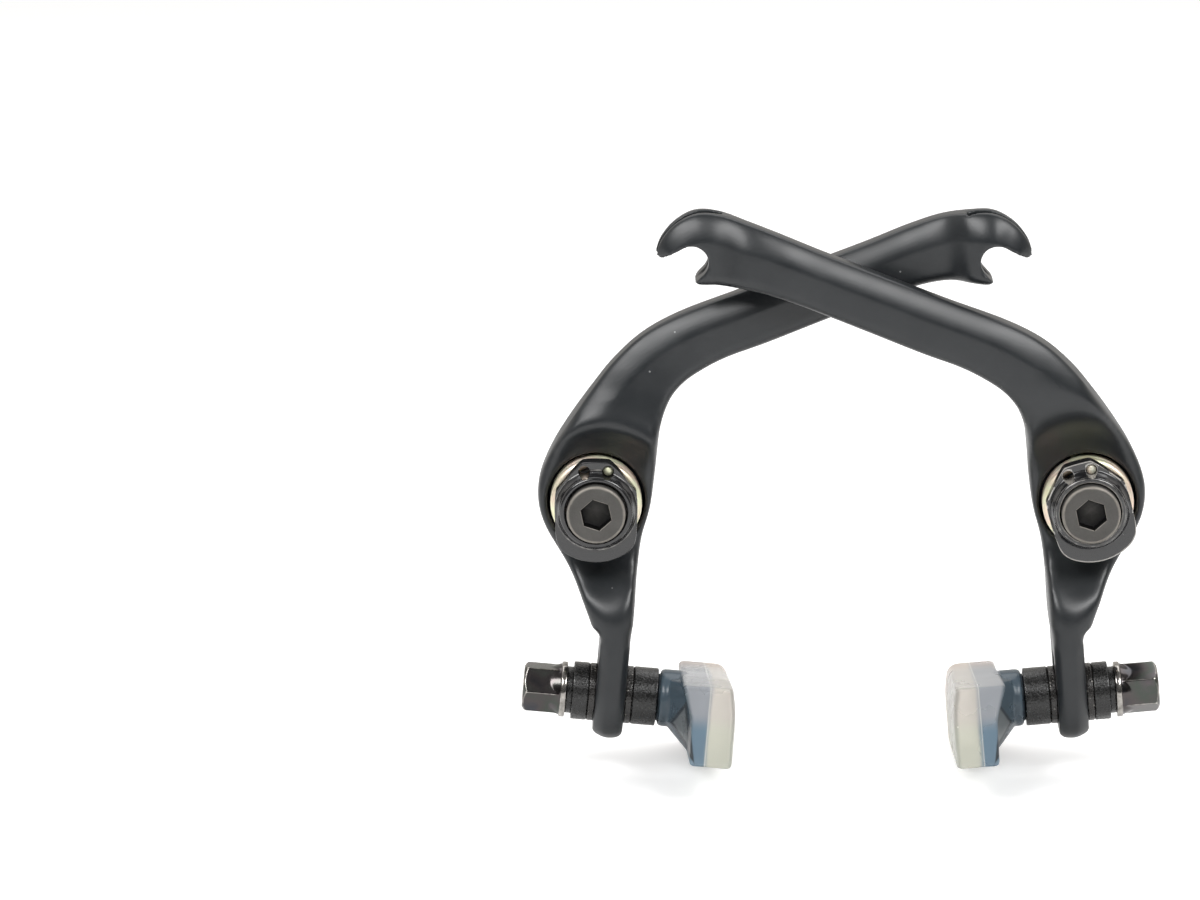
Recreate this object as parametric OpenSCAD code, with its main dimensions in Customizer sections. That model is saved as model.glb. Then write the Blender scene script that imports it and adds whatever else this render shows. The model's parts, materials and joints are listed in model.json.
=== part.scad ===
// Two-arm rim brake for bosses on the frame: crossed forged arms, each swinging on its own
// pivot with a torsion spring, a spring tension collar and a threaded-stud brake pad.
// X runs across the wheel, -Y is the side away from the frame and +Z is up.
// The origin is midway between the two pivots, on the plane where they meet the frame.

/* [Arms] */
// Distance between the two pivot axes
pivot_spacing = 88; // [86:0.5:92]
// Gap between the crossing arms, front to back
crossing_gap = 1.2; // [1:0.1:1.6]
// Depth of each upper arm, front to back
arm_depth = 7; // [6:0.5:7.5]
// Depth of each lower leg, front to back
leg_depth = 14; // [13:0.5:16]
// Depth of each cable hook, front to back
hook_depth = 8.5; // [8:0.5:9]
// Corner radius along the arms
edge_r = 1.7; // [1:0.1:2]
// Width of the soft bevel along the outer front edge of the arms
bevel_width = 4; // [3:0.1:4.5]
// Depth of that bevel
bevel_depth = 1.6; // [1.2:0.1:2]

/* [Cable hook] */
// Radius of the notch that seats the cable end
notch_r = 3; // [2.8:0.1:3.2]
// Width of the slot that splits the hook for the cable
fork_slot = 2.2; // [1.8:0.1:2.6]

/* [Pivot] */
// Radius of the bore that fits over the frame boss
boss_bore_r = 4.55; // [4.5:0.01:4.6]
// Length of that bore
boss_bore_len = 7.2; // [6:0.1:7.4]
// Outer radius of the pivot bushing
bushing_r = 6; // [5.8:0.1:6.1]
// Radial running clearance between the bushing and the arm
running_gap = 0.05; // [0.03:0.01:0.08]
// Radius of the pivot bolt's thread
bolt_r = 3; // [3:0.1:3.1]
// Radius of the pivot bolt's head
bolt_head_r = 5.25; // [5:0.05:5.3]
// Width across the flats of the tension collar
collar_flats = 15; // [14:0.5:15.5]
// Radius of the tension collar's round edge
collar_r = 9.8; // [9.6:0.1:10]

/* [Return spring] */
// Thickness of the spring wire
wire_d = 1.7; // [1.5:0.1:1.7]
// Mean radius of the spring coils
coil_r = 7.35; // [7.3:0.05:7.4]
// Number of full turns
coil_turns = 3; // [2:1:3]

/* [Pad] */
// Length of the brake pad
pad_length = 45; // [40:1:50]
// Distance from the leg's middle to the pad's braking face
pad_reach = 22; // [21:0.5:23]
// Turn of each pad about its stud, far end down
pad_turn = 10; // [0:1:12]
// Radius of the pad's threaded stud
stud_r = 2.5; // [2.4:0.1:2.6]
// Thickness of the leg between its washer seats
leg_seat = 5.4; // [5:0.1:5.6]
// Width across the flats of the pad nut
nut_flats = 8; // [8:0.1:8.4]
// Radius of the spacers and domed washers
washer_r = 5.2; // [5:0.1:5.3]

/* [Hidden] */
eps = 0.01;

// The plane through the middle of the legs, hooks and pads, measured from the frame plane
mid_y = -13.4;
// Front face of the recess round each pivot, from the middle plane
recess_y = 1;
// Rear end of the bushing and of the arm's barrel, from the middle plane
bushing_rear = -mid_y;
barrel_rear = bushing_rear - 0.4;
bushing_front = 0.6;
barrel_r = 9.6;
arm_bore_r = bushing_r + running_gap;
spring_pocket_r = coil_r + wire_d / 2 + 0.6;
spring_pocket_depth = 3.5;
recess_flat_r = 9;
recess_top_r = 17.2;
recess_height = 10.2;

// Where the pad's stud crosses the leg, and how far the leg leans
stud_u = 2.5;
stud_z = -35.5;
leg_lean = 5;
slot_r = stud_r + 0.15;
slot_top = 5.4;
seat_top = 10.4;
seat_bottom = -9;
// Gaps that let the pad's stack slide on the leg and the pad turn in the stack
seat_gap = 0.02;
turn_gap = 0.05;

// Notch and slot of the hook, as distance in from the pivot and height above it
notch = [71.1, 44.6];
fork_root = 65.4;

// Outline of an arm seen from the front, from the leg's tip to the hook's claw:
// outer edge and inner edge, each as distance in from the pivot and height above it
outline = [
    [1.0, -43.4, 3.2, -43.5], [0.1, -42.8, 4.1, -43.0],
    [-0.7, -41.4, 4.8, -41.6], [-0.6, -39.0, 5.0, -39.4],
    [-0.3, -35.0, 5.3, -35.5], [0.1, -29.5, 5.8, -30.0],
    [0.0, -24.5, 6.3, -24.5], [-1.8, -19.0, 6.8, -19.0],
    [-4.6, -12.5, 7.2, -13.0], [-8.2, -6.5, 8.0, -7.0],
    [-10.0, -1.5, 9.4, -1.5], [-10.0, 3.5, 10.2, 4.0],
    [-7.6, 9.5, 10.7, 9.5], [-4.2, 15.0, 11.4, 14.2],
    [-0.6, 20.2, 13.0, 18.5], [3.3, 25.2, 15.4, 21.5],
    [8.6, 29.9, 18.8, 23.9], [15.5, 33.4, 23.5, 26.3],
    [25.9, 37.0, 30.5, 28.9], [37.6, 42.0, 41.1, 33.2],
    [48.1, 46.5, 51.2, 37.2], [55.1, 49.4, 58.0, 39.5],
    [61.1, 51.6, 63.0, 40.5], [66.0, 52.8, 66.5, 40.6],
    [70.4, 52.9, 68.8, 40.5], [74.0, 51.0, 70.0, 40.6],
    [76.4, 48.2, 70.8, 41.2], [77.4, 45.6, 71.4, 41.9]
];

// Front and back of each station from the middle plane. The lower stations are shared.
half_leg = leg_depth / 2;
half_hook = hook_depth / 2;
near_side = crossing_gap / 2;
far_side = near_side + arm_depth;
leg_depths = [
    [-1.2, 1.2], [-3.2, 3.2], [-5.0, 5.0], [-6.3, 6.3],
    [-half_leg, half_leg], [-half_leg, half_leg], [-half_leg, half_leg],
    [-half_leg, 7.4], [-half_leg, 8.4], [-half_leg, 9.6],
    [-half_leg, 10.4], [-half_leg, 10.6]
];
rear_arm_depths = concat(leg_depths, [
    [-5, 10.2], [-2, 9.2], [-0.6, 8.4], [0, 8], [0.4, 7.8],
    [near_side, far_side], [near_side, far_side], [near_side, far_side],
    [near_side, far_side], [near_side, far_side], [-0.2, 6.9],
    [-3.2, 4.8], [-half_hook, half_hook], [-half_hook, half_hook],
    [-4, 4], [-3.2, 3.2]
]);
front_arm_depths = concat(leg_depths, [
    [-7.2, 10], [-far_side, 8.6], [-far_side, 6.4], [-far_side, 4], [-far_side, 1.8],
    [-far_side, 0.2], [-far_side, -near_side], [-far_side, -near_side],
    [-far_side, -near_side], [-far_side, -near_side], [-6.9, 0.2],
    [-4.8, 3.2], [-half_hook, half_hook], [-half_hook, half_hook],
    [-4, 4], [-3.2, 3.2]
]);

// Smooth curve through four values, at t between the second and the third
function curve(a, b, c, d, t) =
    0.5 * (2 * b + (c - a) * t + (2 * a - 5 * b + 4 * c - d) * t * t
    + (3 * b - a - 3 * c + d) * t * t * t);

// Item of a list with the ends repeated
function held(list, i) = list[max(0, min(len(list) - 1, i))];

// A list of stations with more stations set smoothly between them
function refined(rows, steps) = [
    for (i = [0 : len(rows) - 2], k = [0 : steps - 1])
        curve(held(rows, i - 1), rows[i], rows[i + 1], held(rows, i + 2), k / steps),
    rows[len(rows) - 1]
];

// One rounded corner of a section: its centre, its two radii and its first angle
function corner(centre, r, start, steps) = [
    for (k = [0 : steps]) let (t = start + 90 * k / steps)
        centre + [r[0] * cos(t), r[1] * sin(t)]
];

// Section across an arm as a rounded rectangle: half width a, half depth b
function section(a, b, r, bevel, steps) = concat(
    corner([b - r, a - r], [r, r], 0, steps),
    corner([bevel[0] - b, a - bevel[1]], bevel, 90, steps),
    corner([r - b, r - a], [r, r], 180, steps),
    corner([b - r, r - a], [r, r], 270, steps)
);

// Points of one section in place. Row: outer u, outer z, inner u, inner z, front y, back y.
function placed(row, steps) =
    let (outer = [row[0], row[1]], inner = [row[2], row[3]])
    let (a = norm(outer - inner) / 2, b = (row[5] - row[4]) / 2)
    let (across = (outer - inner) / (2 * a), centre = (outer + inner) / 2)
    let (y = (row[4] + row[5]) / 2, r = min(edge_r, 0.8 * min(a, b)))
    let (bevel = [min(bevel_depth, 0.8 * b), min(bevel_width, 0.8 * a)])
    [
        for (p = section(a, b, r, bevel, steps))
            [centre[0] + p[1] * across[0], y + p[0], centre[1] + p[1] * across[1]]
    ];

// Triangles between rings of n points each, and the two end faces
function skin(rings, n) = concat(
    [[for (j = [0 : n - 1]) j]],
    [
        for (i = [0 : rings - 2], j = [0 : n - 1], half = [0, 1])
            let (p = i * n, k = (j + 1) % n)
            half == 0 ? [p + j, p + n + j, p + n + k] : [p + j, p + n + k, p + k]
    ],
    [[for (j = [n - 1 : -1 : 0]) (rings - 1) * n + j]]
);

// The forging of one arm, as sections lofted from the leg's tip to the claw
module loft(depths) {
    steps = 4;
    n = 4 * (steps + 1);
    rows = refined([for (i = [0 : len(outline) - 1]) concat(outline[i], depths[i])], 3);
    polyhedron(points = [for (row = rows) each placed(row, steps)], faces = skin(len(rows), n));
}

// Puts children on the left pivot axis at y, with their own z towards the front
module on_pivot(y) {
    translate([-pivot_spacing / 2, mid_y + y, 0]) rotate([90, 0, 0]) children();
}

// Puts children on the left pad's stud: x towards the wheel, z up the leg
module on_stud() {
    translate([stud_u - pivot_spacing / 2, mid_y, stud_z]) rotate([0, leg_lean, 0]) children();
}

// Mirrors a left-hand piece to the right
module on_right() {
    mirror([1, 0, 0]) children();
}

// Flat face and hollow flare cut round the pivot on the front of an arm
module recess() {
    rotate_extrude($fn = 96) polygon([
        [0, 0], [recess_flat_r, 0], [11, 0.5], [12.8, 1.6], [14.2, 3.2], [15.3, 5.2],
        [16.2, 7.4], [recess_top_r, recess_height],
        [recess_top_r, recess_height + 12], [0, recess_height + 12]
    ]);
}

// Slot through the leg for the stud, and the flat washer seats on both its faces
module leg_slot() {
    on_stud() {
        for (z = [0, slot_top]) translate([0, 0, z]) rotate([0, 90, 0])
            cylinder(r = slot_r, h = 30, center = true, $fn = 48);
        translate([-15, -slot_r, 0]) cube([30, 2 * slot_r, slot_top]);
        for (side = [-1, 1])
            translate([side * (leg_seat / 2 + 2), 0, (seat_top + seat_bottom) / 2])
            cube([4, leg_depth + 2, seat_top - seat_bottom], center = true);
    }
}

// Notch with its open mouth, and the slot that lets the cable into it
module hook_cut() {
    translate([0, 20, 0]) rotate([90, 0, 0]) linear_extrude(40) {
        translate(notch) circle(notch_r, $fn = 64);
        polygon([
            notch + [1.12, 2.78], [75.6, 45.5], [84, 41], [76, 33],
            [71.2, 40.2], notch + [-2.12, -2.12]
        ]);
    }
    translate([0, fork_slot / 2, 0]) rotate([90, 0, 0]) linear_extrude(fork_slot)
        polygon([
            [fork_root, 58], [84, 58], [84, 41], [70.2, 41.2], [68.7, 42.1], [67.6, 44],
            [fork_root + 0.6, 49]
        ]);
}

// One arm: the loft and its barrel, less the recess, bore, spring pocket, slot and hook
module arm(depths) {
    difference() {
        union() {
            translate([-pivot_spacing / 2, mid_y, 0]) loft(depths);
            on_pivot(barrel_rear) cylinder(r = barrel_r, h = 8, $fn = 96);
        }
        on_pivot(recess_y) recess();
        on_pivot(barrel_rear + 1) cylinder(r = arm_bore_r, h = 30, $fn = 96);
        on_pivot(recess_y + spring_pocket_depth) cylinder(r = spring_pocket_r, h = 10, $fn = 96);
        spring_anchor_hole();
        leg_slot();
        translate([-pivot_spacing / 2, mid_y, 0]) hook_cut();
    }
}

module left_arm() {
    color("#33363a") arm(rear_arm_depths);
}

module right_arm() {
    color("#33363a") on_right() arm(front_arm_depths);
}

// Sleeve that is clamped on the frame boss and on which the arm turns
module pivot_bushing() {
    color("#9a9c9f") on_pivot(bushing_rear) difference() {
        cylinder(r = bushing_r, h = bushing_rear - bushing_front, $fn = 96);
        translate([0, 0, -eps]) cylinder(r = boss_bore_r, h = boss_bore_len + eps, $fn = 96);
        translate([0, 0, boss_bore_len - eps]) cylinder(r = boss_bore_r + 0.25, h = 20, $fn = 96);
    }
}

// Spring coils: height above the recess floor of the first and last turn
coil_start = recess_y + spring_pocket_depth - wire_d / 2 - 0.05;
coil_pitch = wire_d + 0.06;
leg_angle = 73;
anchor_depth = 3;

// Centre line of the spring: straight end into the arm, coils, straight end into the collar.
// The last end follows the turn of the collar.
turn_steps = 20;
coil_count = coil_turns * turn_steps;
function coil_point(i, turn) =
    let (a = leg_angle + turn - (360 * coil_turns + turn) * (1 - i / coil_count))
    [coil_r * cos(a), coil_start - coil_pitch * i / turn_steps, coil_r * sin(a)];
collar_back = coil_start - coil_pitch * coil_turns - wire_d / 2 - 0.06;
collar_thick = 3;
bend = 1.2;
function spring_line(turn) = concat(
    [coil_point(0, turn) + [0, anchor_depth, 0], coil_point(0, turn) + [0, bend, 0]],
    [for (i = [0 : coil_count]) coil_point(i, turn)],
    let (last = coil_point(coil_count, turn))
    [last - [0, bend, 0], [last[0], collar_back - collar_thick + 0.4, last[2]]]
);

function unit(v) = v / norm(v);

// Ring of a round wire about point i of a line. Its frame leans on the radius from the axis.
function wire_ring(line, i, r, sides) =
    let (t = unit(held(line, i + 1) - held(line, i - 1)), radial = unit([line[i][0], 0, line[i][2]]))
    let (side = unit(cross(t, radial)), up = cross(side, t))
    [for (k = [0 : sides - 1]) line[i] + r * (cos(360 * k / sides) * up + sin(360 * k / sides) * side)];

module return_spring(turn) {
    sides = 8;
    line = spring_line(turn);
    rings = [for (i = [0 : len(line) - 1]) each wire_ring(line, i, wire_d / 2, sides)];
    color("#c9bd86") translate([-pivot_spacing / 2, mid_y, 0])
        polyhedron(points = rings, faces = skin(len(line), sides));
}

// Hole in the arm for the spring's rear end
module spring_anchor_hole() {
    on_pivot(coil_start + anchor_depth + 0.3) rotate([0, 0, leg_angle]) translate([coil_r, 0, 0])
        cylinder(r = wire_d / 2 + 0.12, h = 5, $fn = 32);
}

// Spanner collar: rear boss, plate with two flats and two spring holes, round front boss
boss_front = collar_back - collar_thick - 2.4;
module tension_collar(turn) {
    color("#17181a") on_pivot(bushing_front) rotate([0, 0, turn]) difference() {
        union() {
            cylinder(r = 5.6, h = bushing_front - collar_back + 1, $fn = 64);
            translate([0, 0, bushing_front - collar_back]) intersection() {
                cylinder(r = collar_r, h = collar_thick, $fn = 96);
                linear_extrude(collar_thick) polygon([
                    [-collar_flats / 2, -12], [collar_flats / 2, -12], [collar_flats / 2, 3.3],
                    [2.6, 9.2], [-2.6, 9.2], [-collar_flats / 2, 3.3]
                ]);
            }
            rotate_extrude($fn = 96) translate([0, bushing_front - collar_back + collar_thick - eps])
                polygon([[0, 0], [7.3, 0], [6.9, 0.5], [6.6, 1.3], [6.5, 2.1], [6.2, 2.4], [0, 2.4]]);
        }
        translate([0, 0, -1]) cylinder(r = bolt_r + 0.2, h = 20, $fn = 64);
        translate([0, 0, bushing_front - boss_front - 2.2])
            cylinder(r = bolt_head_r + 0.25, h = 10, $fn = 96);
        for (a = [90 - 17, 90 + 17]) rotate([0, 0, a]) translate([coil_r, 0, bushing_front - collar_back - 1])
            cylinder(r = 1.05, h = 10, $fn = 32);
    }
}

// Socket-head bolt: thread, plain neck through the collar, low head with a hexagon socket
head_seat = boss_front + 2.2;
head_height = 3.8;
thread_front = bushing_front - 0.2;
thread_rear = bushing_rear - boss_bore_len - 0.2;
module pivot_bolt(turn) {
    color("#3a3b3c") on_pivot(thread_rear) difference() {
        union() {
            cylinder(r = bolt_r, h = thread_rear - thread_front, $fn = 64);
            cylinder(r = bolt_r - 0.1, h = thread_rear - head_seat + 1, $fn = 64);
            rotate_extrude($fn = 96) translate([0, thread_rear - head_seat]) polygon([
                [0, 0], [bolt_head_r, 0], [bolt_head_r, head_height - 0.35],
                [bolt_head_r - 0.35, head_height], [0, head_height]
            ]);
        }
        translate([0, 0, thread_rear - head_seat + head_height - 2.7]) rotate([0, 0, turn])
            cylinder(d = 5 / cos(30), h = 5, $fn = 6);
    }
}

// Points of an arc of radius r about a point on the axis, between two radii
function arc_profile(r, from, to, steps, offset) = [
    for (k = [0 : steps]) let (p = from + (to - from) * k / steps) [p, sqrt(r * r - p * p) + offset]
];

// Spherical seat between a domed washer and a cup spacer
dome_r = 8;
dome_rim = 1.2;
dome_edge_r = 5;
washer_bore_r = stud_r + 0.15;
dome_offset = dome_rim - sqrt(dome_r * dome_r - dome_edge_r * dome_edge_r);
dome_top = sqrt(dome_r * dome_r - washer_bore_r * washer_bore_r) + dome_offset;

// Flat on its back and domed on its front
module domed_washer() {
    color("#2a2624") rotate_extrude($fn = 72) polygon(concat(
        [[washer_bore_r, 0], [washer_r - 0.25, 0], [washer_r, 0.2], [washer_r, dome_rim - 0.2]],
        arc_profile(dome_r, dome_edge_r, washer_bore_r, 6, dome_offset)
    ));
}

// Cupped on its back to sit on the dome, and flat on its front
module cup_spacer(length) {
    color("#1b1b1c") rotate_extrude($fn = 72) polygon(concat(
        arc_profile(dome_r, washer_bore_r, dome_edge_r, 6, dome_offset + eps),
        [
            [washer_r, dome_rim + 0.25], [washer_r, dome_rim + length - 0.25],
            [washer_r - 0.25, dome_rim + length], [washer_bore_r, dome_rim + length]
        ]
    ));
}

inner_length = 4.5;
outer_length = 2.9;
flat_thick = 1.1;
flat_r = 4.2;
shoulder = leg_seat / 2 + seat_gap + dome_rim + inner_length + turn_gap;
nut_base = leg_seat / 2 + seat_gap + dome_rim + outer_length + flat_thick;
nut_length = 7.8;

// Puts children on the left stud against the leg: side 1 is the wheel's side, -1 the outer side
module on_seat(side) {
    on_stud() translate([side * (leg_seat / 2 + seat_gap), 0, 0]) rotate([0, side * 90, 0])
        children();
}

module flat_washer() {
    color("#101011") on_seat(-1) translate([0, 0, dome_rim + outer_length]) difference() {
        cylinder(r = flat_r, h = flat_thick, $fn = 64);
        translate([0, 0, -1]) cylinder(r = washer_bore_r, h = 3, $fn = 64);
    }
}

// Flanged hexagon nut with a conical neck, turned about the stud
module pad_nut(turn) {
    flange = 1.1;
    flange_r = washer_r - 0.2;
    neck = 2;
    corner_r = nut_flats / 2 / cos(30);
    color("#55504d") on_stud() translate([-nut_base, 0, 0]) rotate([0, -90, 0])
        rotate([0, 0, turn]) difference() {
            union() {
                cylinder(r = flange_r, h = flange, $fn = 72);
                translate([0, 0, flange - eps])
                    cylinder(r1 = flange_r - 0.3, r2 = nut_flats / 2 - 0.1, h = neck, $fn = 72);
                intersection() {
                    translate([0, 0, flange - eps])
                        cylinder(r = corner_r, h = nut_length - flange, $fn = 6);
                    rotate_extrude($fn = 72) polygon([
                        [0, 0], [corner_r + 0.1, 0], [corner_r + 0.1, nut_length - 0.7],
                        [corner_r - 0.9, nut_length - eps], [0, nut_length - eps]
                    ]);
                }
            }
            translate([0, 0, -1]) cylinder(r = stud_r + 0.02, h = 20, $fn = 64);
        }
}

// Pads are turned about the stud
module on_pad() {
    on_stud() rotate([-pad_turn, 0, 0]) children();
}

stud_end = nut_base + nut_length - 1.4;
plate_back = 14.8;
plate_thick = 2.7;
plate_half = pad_length / 2 - 3;
plate_low = -7.9;
plate_high = 3.2;

// Stud, shoulder, flared root and backing plate, welded into one piece
module stud_form() {
    translate([-stud_end, 0, 0]) rotate([0, 90, 0])
        cylinder(r = stud_r, h = stud_end + shoulder + 1, $fn = 64);
    translate([shoulder, 0, 0]) rotate([0, 90, 0])
        cylinder(r = 4.3, h = plate_back - shoulder + 1, $fn = 64);
    translate([plate_back - 3, 0, -1]) rotate([0, 90, 0])
        cylinder(r1 = 3.3, r2 = 6, h = 3 + eps, $fn = 64);
    translate([plate_back, -plate_half, plate_low])
        cube([plate_thick, 2 * plate_half, plate_high - plate_low]);
}

module pad_stud() {
    color("#3d4a56") on_pad() stud_form();
}

// Moulded rubber: braking block, gusset and collar round the stud's root
rubber_start = shoulder + 0.3;
rubber_collar_r = 5.2;
rubber_back = 14.2;
module rubber_block() {
    half = pad_length / 2;
    translate([0, half, 0]) rotate([90, 0, 0]) linear_extrude(pad_length) polygon([
        [12.2, 4.3], [12.7, 4.8], [pad_reach - 1.2, 4.7], [pad_reach - 0.6, 4.1],
        [pad_reach, 0.6], [pad_reach, -1.6], [pad_reach - 0.6, -8.9], [pad_reach - 1.2, -9.5],
        [14.8, -9.5], [rubber_back, -8.9], [rubber_back, -1.2]
    ]);
}

module rubber_gusset() {
    hull() {
        translate([rubber_start + 1.6, 0, 0]) rotate([0, 90, 0])
            cylinder(r = rubber_collar_r - 0.4, h = 0.5, $fn = 32);
        translate([rubber_back + 0.4, -12, -8.2]) cube([0.5, 24, 12.2]);
    }
    translate([rubber_start, 0, 0]) rotate([0, 90, 0])
        cylinder(r = rubber_collar_r, h = rubber_back - rubber_start - 1, $fn = 64);
}

// Chamfers the pad's two ends towards the braking face
module end_chamfers() {
    for (side = [-1, 1]) translate([pad_reach, side * pad_length / 2, -2]) rotate([0, 0, 45])
        cube([2.4, 2.4, 30], center = true);
}

module pad_rubber() {
    color("#c9cbb8") on_pad() difference() {
        union() {
            rubber_block();
            rubber_gusset();
        }
        stud_form();
        end_chamfers();
    }
}

module inner_domed_washer() {
    on_seat(1) domed_washer();
}

module inner_cup_spacer() {
    on_seat(1) cup_spacer(inner_length);
}

module outer_domed_washer() {
    on_seat(-1) domed_washer();
}

module outer_cup_spacer() {
    on_seat(-1) cup_spacer(outer_length);
}

// Turn of each collar and bolt as they stand, seen from the front
left_collar_turn = 0;
right_collar_turn = -16;
left_socket_turn = 38;
right_socket_turn = 15;
left_nut_turn = 32;
right_nut_turn = 3;

left_arm();
right_arm();
pivot_bushing();  // left_pivot_bushing
on_right() pivot_bushing();  // right_pivot_bushing
return_spring(left_collar_turn);  // left_return_spring
on_right() return_spring(right_collar_turn);  // right_return_spring
tension_collar(left_collar_turn);  // left_tension_collar
on_right() tension_collar(right_collar_turn);  // right_tension_collar
pivot_bolt(left_socket_turn);  // left_pivot_bolt
on_right() pivot_bolt(right_socket_turn);  // right_pivot_bolt
inner_domed_washer();  // left_inner_domed_washer
on_right() inner_domed_washer();  // right_inner_domed_washer
inner_cup_spacer();  // left_inner_cup_spacer
on_right() inner_cup_spacer();  // right_inner_cup_spacer
outer_domed_washer();  // left_outer_domed_washer
on_right() outer_domed_washer();  // right_outer_domed_washer
outer_cup_spacer();  // left_outer_cup_spacer
on_right() outer_cup_spacer();  // right_outer_cup_spacer
flat_washer();  // left_flat_washer
on_right() flat_washer();  // right_flat_washer
pad_nut(left_nut_turn);  // left_pad_nut
on_right() pad_nut(right_nut_turn);  // right_pad_nut
pad_stud();  // left_pad_stud
on_right() pad_stud();  // right_pad_stud
pad_rubber();  // left_pad_rubber
on_right() pad_rubber();  // right_pad_rubber
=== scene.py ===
# %% [markdown]
# A bicycle rim brake with crossed arms
#
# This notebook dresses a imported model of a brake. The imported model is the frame: it says how big
# each piece is, where it sits and which body carries it. Here every piece gets its finished
# surface: the soft edges of a forging, turned metal, plated nuts and clear moulded rubber.

# %% Load the frame
import json
import math

import bmesh
import bpy
import numpy as np
from mathutils import Matrix, Vector


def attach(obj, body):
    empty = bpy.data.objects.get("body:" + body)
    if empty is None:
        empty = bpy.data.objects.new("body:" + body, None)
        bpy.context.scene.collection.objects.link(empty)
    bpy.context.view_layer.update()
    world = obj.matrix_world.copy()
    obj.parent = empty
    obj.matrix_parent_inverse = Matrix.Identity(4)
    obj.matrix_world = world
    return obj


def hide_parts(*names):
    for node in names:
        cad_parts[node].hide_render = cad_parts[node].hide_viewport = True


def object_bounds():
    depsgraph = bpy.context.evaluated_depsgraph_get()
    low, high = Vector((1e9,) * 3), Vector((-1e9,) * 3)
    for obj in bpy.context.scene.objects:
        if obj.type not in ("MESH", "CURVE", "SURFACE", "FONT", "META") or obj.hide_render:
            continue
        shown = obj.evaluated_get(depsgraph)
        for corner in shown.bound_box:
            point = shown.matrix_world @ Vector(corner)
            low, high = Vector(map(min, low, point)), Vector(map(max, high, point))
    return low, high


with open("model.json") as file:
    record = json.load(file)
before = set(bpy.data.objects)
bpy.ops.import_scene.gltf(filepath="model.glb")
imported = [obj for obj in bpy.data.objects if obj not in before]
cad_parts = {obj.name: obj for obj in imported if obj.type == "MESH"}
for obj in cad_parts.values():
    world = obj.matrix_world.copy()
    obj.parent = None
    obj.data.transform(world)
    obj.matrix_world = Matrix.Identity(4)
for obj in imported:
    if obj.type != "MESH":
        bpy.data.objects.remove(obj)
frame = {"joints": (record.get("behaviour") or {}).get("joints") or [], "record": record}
cad_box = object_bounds()
MM = 0.001
BODIES = frame["record"]["behaviour"]["bodies"]
BODY_OF = {node: body for body, nodes in BODIES.items() for node in nodes}
print("the brake is", [round((b - a) / MM, 1) for a, b in zip(*cad_box)], "mm")

# %% [markdown]
# Where things are
#
# The joints already say where the pivots and the pad studs lie, so no place is typed in twice.
# Each family of pieces gets a local frame: z runs along its axis, and the numbers that describe a
# piece are then the ones that a turner would use, distances along an axis and radii round it.
# The right-hand pieces are the left-hand ones mirrored across the wheel's plane.

# %% Local frames
JOINT = {joint["name"]: joint for joint in frame["joints"]}
PIVOT = np.array(JOINT["left_arm_swing"]["pos_m"]) / MM
STUD = np.array(JOINT["left_pad_turn"]["pos_m"]) / MM
STUD_AXIS = np.array(JOINT["left_pad_turn"]["axis"])
MID_Y = STUD[1]
ACROSS = np.array([0.0, 1.0, 0.0])
UP_LEG = np.cross(STUD_AXIS, ACROSS)
PAD_TURN = math.radians(-10)
SIDES = ("left", "right")
MIRROR = {"left": np.eye(4), "right": np.diag([-1.0, 1.0, 1.0, 1.0])}


def local_frame(x_axis, y_axis, z_axis, origin):
    """4 by 4 matrix whose columns are the three axes and the origin, in millimetres."""
    matrix = np.eye(4)
    matrix[:3, 0], matrix[:3, 1], matrix[:3, 2], matrix[:3, 3] = x_axis, y_axis, z_axis, origin
    return matrix


def on_pivot(y):
    """x towards the wheel, y up and z towards the front, starting y mm behind the middle plane."""
    return local_frame((1, 0, 0), (0, 0, 1), (0, -1, 0), (PIVOT[0], MID_Y + y, 0))


def on_stud(start, direction=1, turn=0.0):
    """z along the stud from start: direction 1 towards the wheel, -1 outwards."""
    y_axis = math.cos(turn) * ACROSS + math.sin(turn) * UP_LEG
    z_axis = math.cos(turn) * UP_LEG - math.sin(turn) * ACROSS
    origin = STUD + STUD_AXIS * start * direction
    return local_frame(y_axis, z_axis * direction, STUD_AXIS * direction, origin)


def moved(place, x, y):
    """The same local frame with its origin moved along its own x and y."""
    result = place.copy()
    result[:3, 3] += place[:3, :2] @ (x, y)
    return result


def spun(place, degrees):
    """The same local frame turned about its own z axis."""
    turn = math.radians(degrees)
    spin = np.eye(4)
    spin[:2, :2] = [[math.cos(turn), -math.sin(turn)], [math.sin(turn), math.cos(turn)]]
    return place @ spin


print("pivot at", PIVOT.round(1), "and stud at", STUD.round(1), "mm")

# %% [markdown]
# From a grid of points to a mesh
#
# Every new surface here is a grid: rows along the piece and columns round it. One helper turns
# grids into a closed mesh. It merges the points that coincide, which closes the poles and the
# seam, and then lets Blender turn every face outwards, because a mirrored grid is inside out.

# %% Grids
MERGE_DISTANCE = 2e-6


def grid_faces(rows, columns):
    """Quads of a grid that closes round its columns: point (i, j) has the number i * columns + j."""
    i, j = np.meshgrid(np.arange(rows - 1), np.arange(columns), indexing="ij")
    k = (j + 1) % columns
    quads = [i * columns + j, (i + 1) * columns + j, (i + 1) * columns + k, i * columns + k]
    return np.stack(quads, axis=-1).reshape(-1, 4)


def capped(grid):
    """Grid with a row more at each end, all of it on the end's middle, which closes the piece."""
    ends = [np.broadcast_to(end.mean(axis=0), end.shape)[None] for end in (grid[0], grid[-1])]
    return np.concatenate([ends[0], grid, ends[1]])


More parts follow.
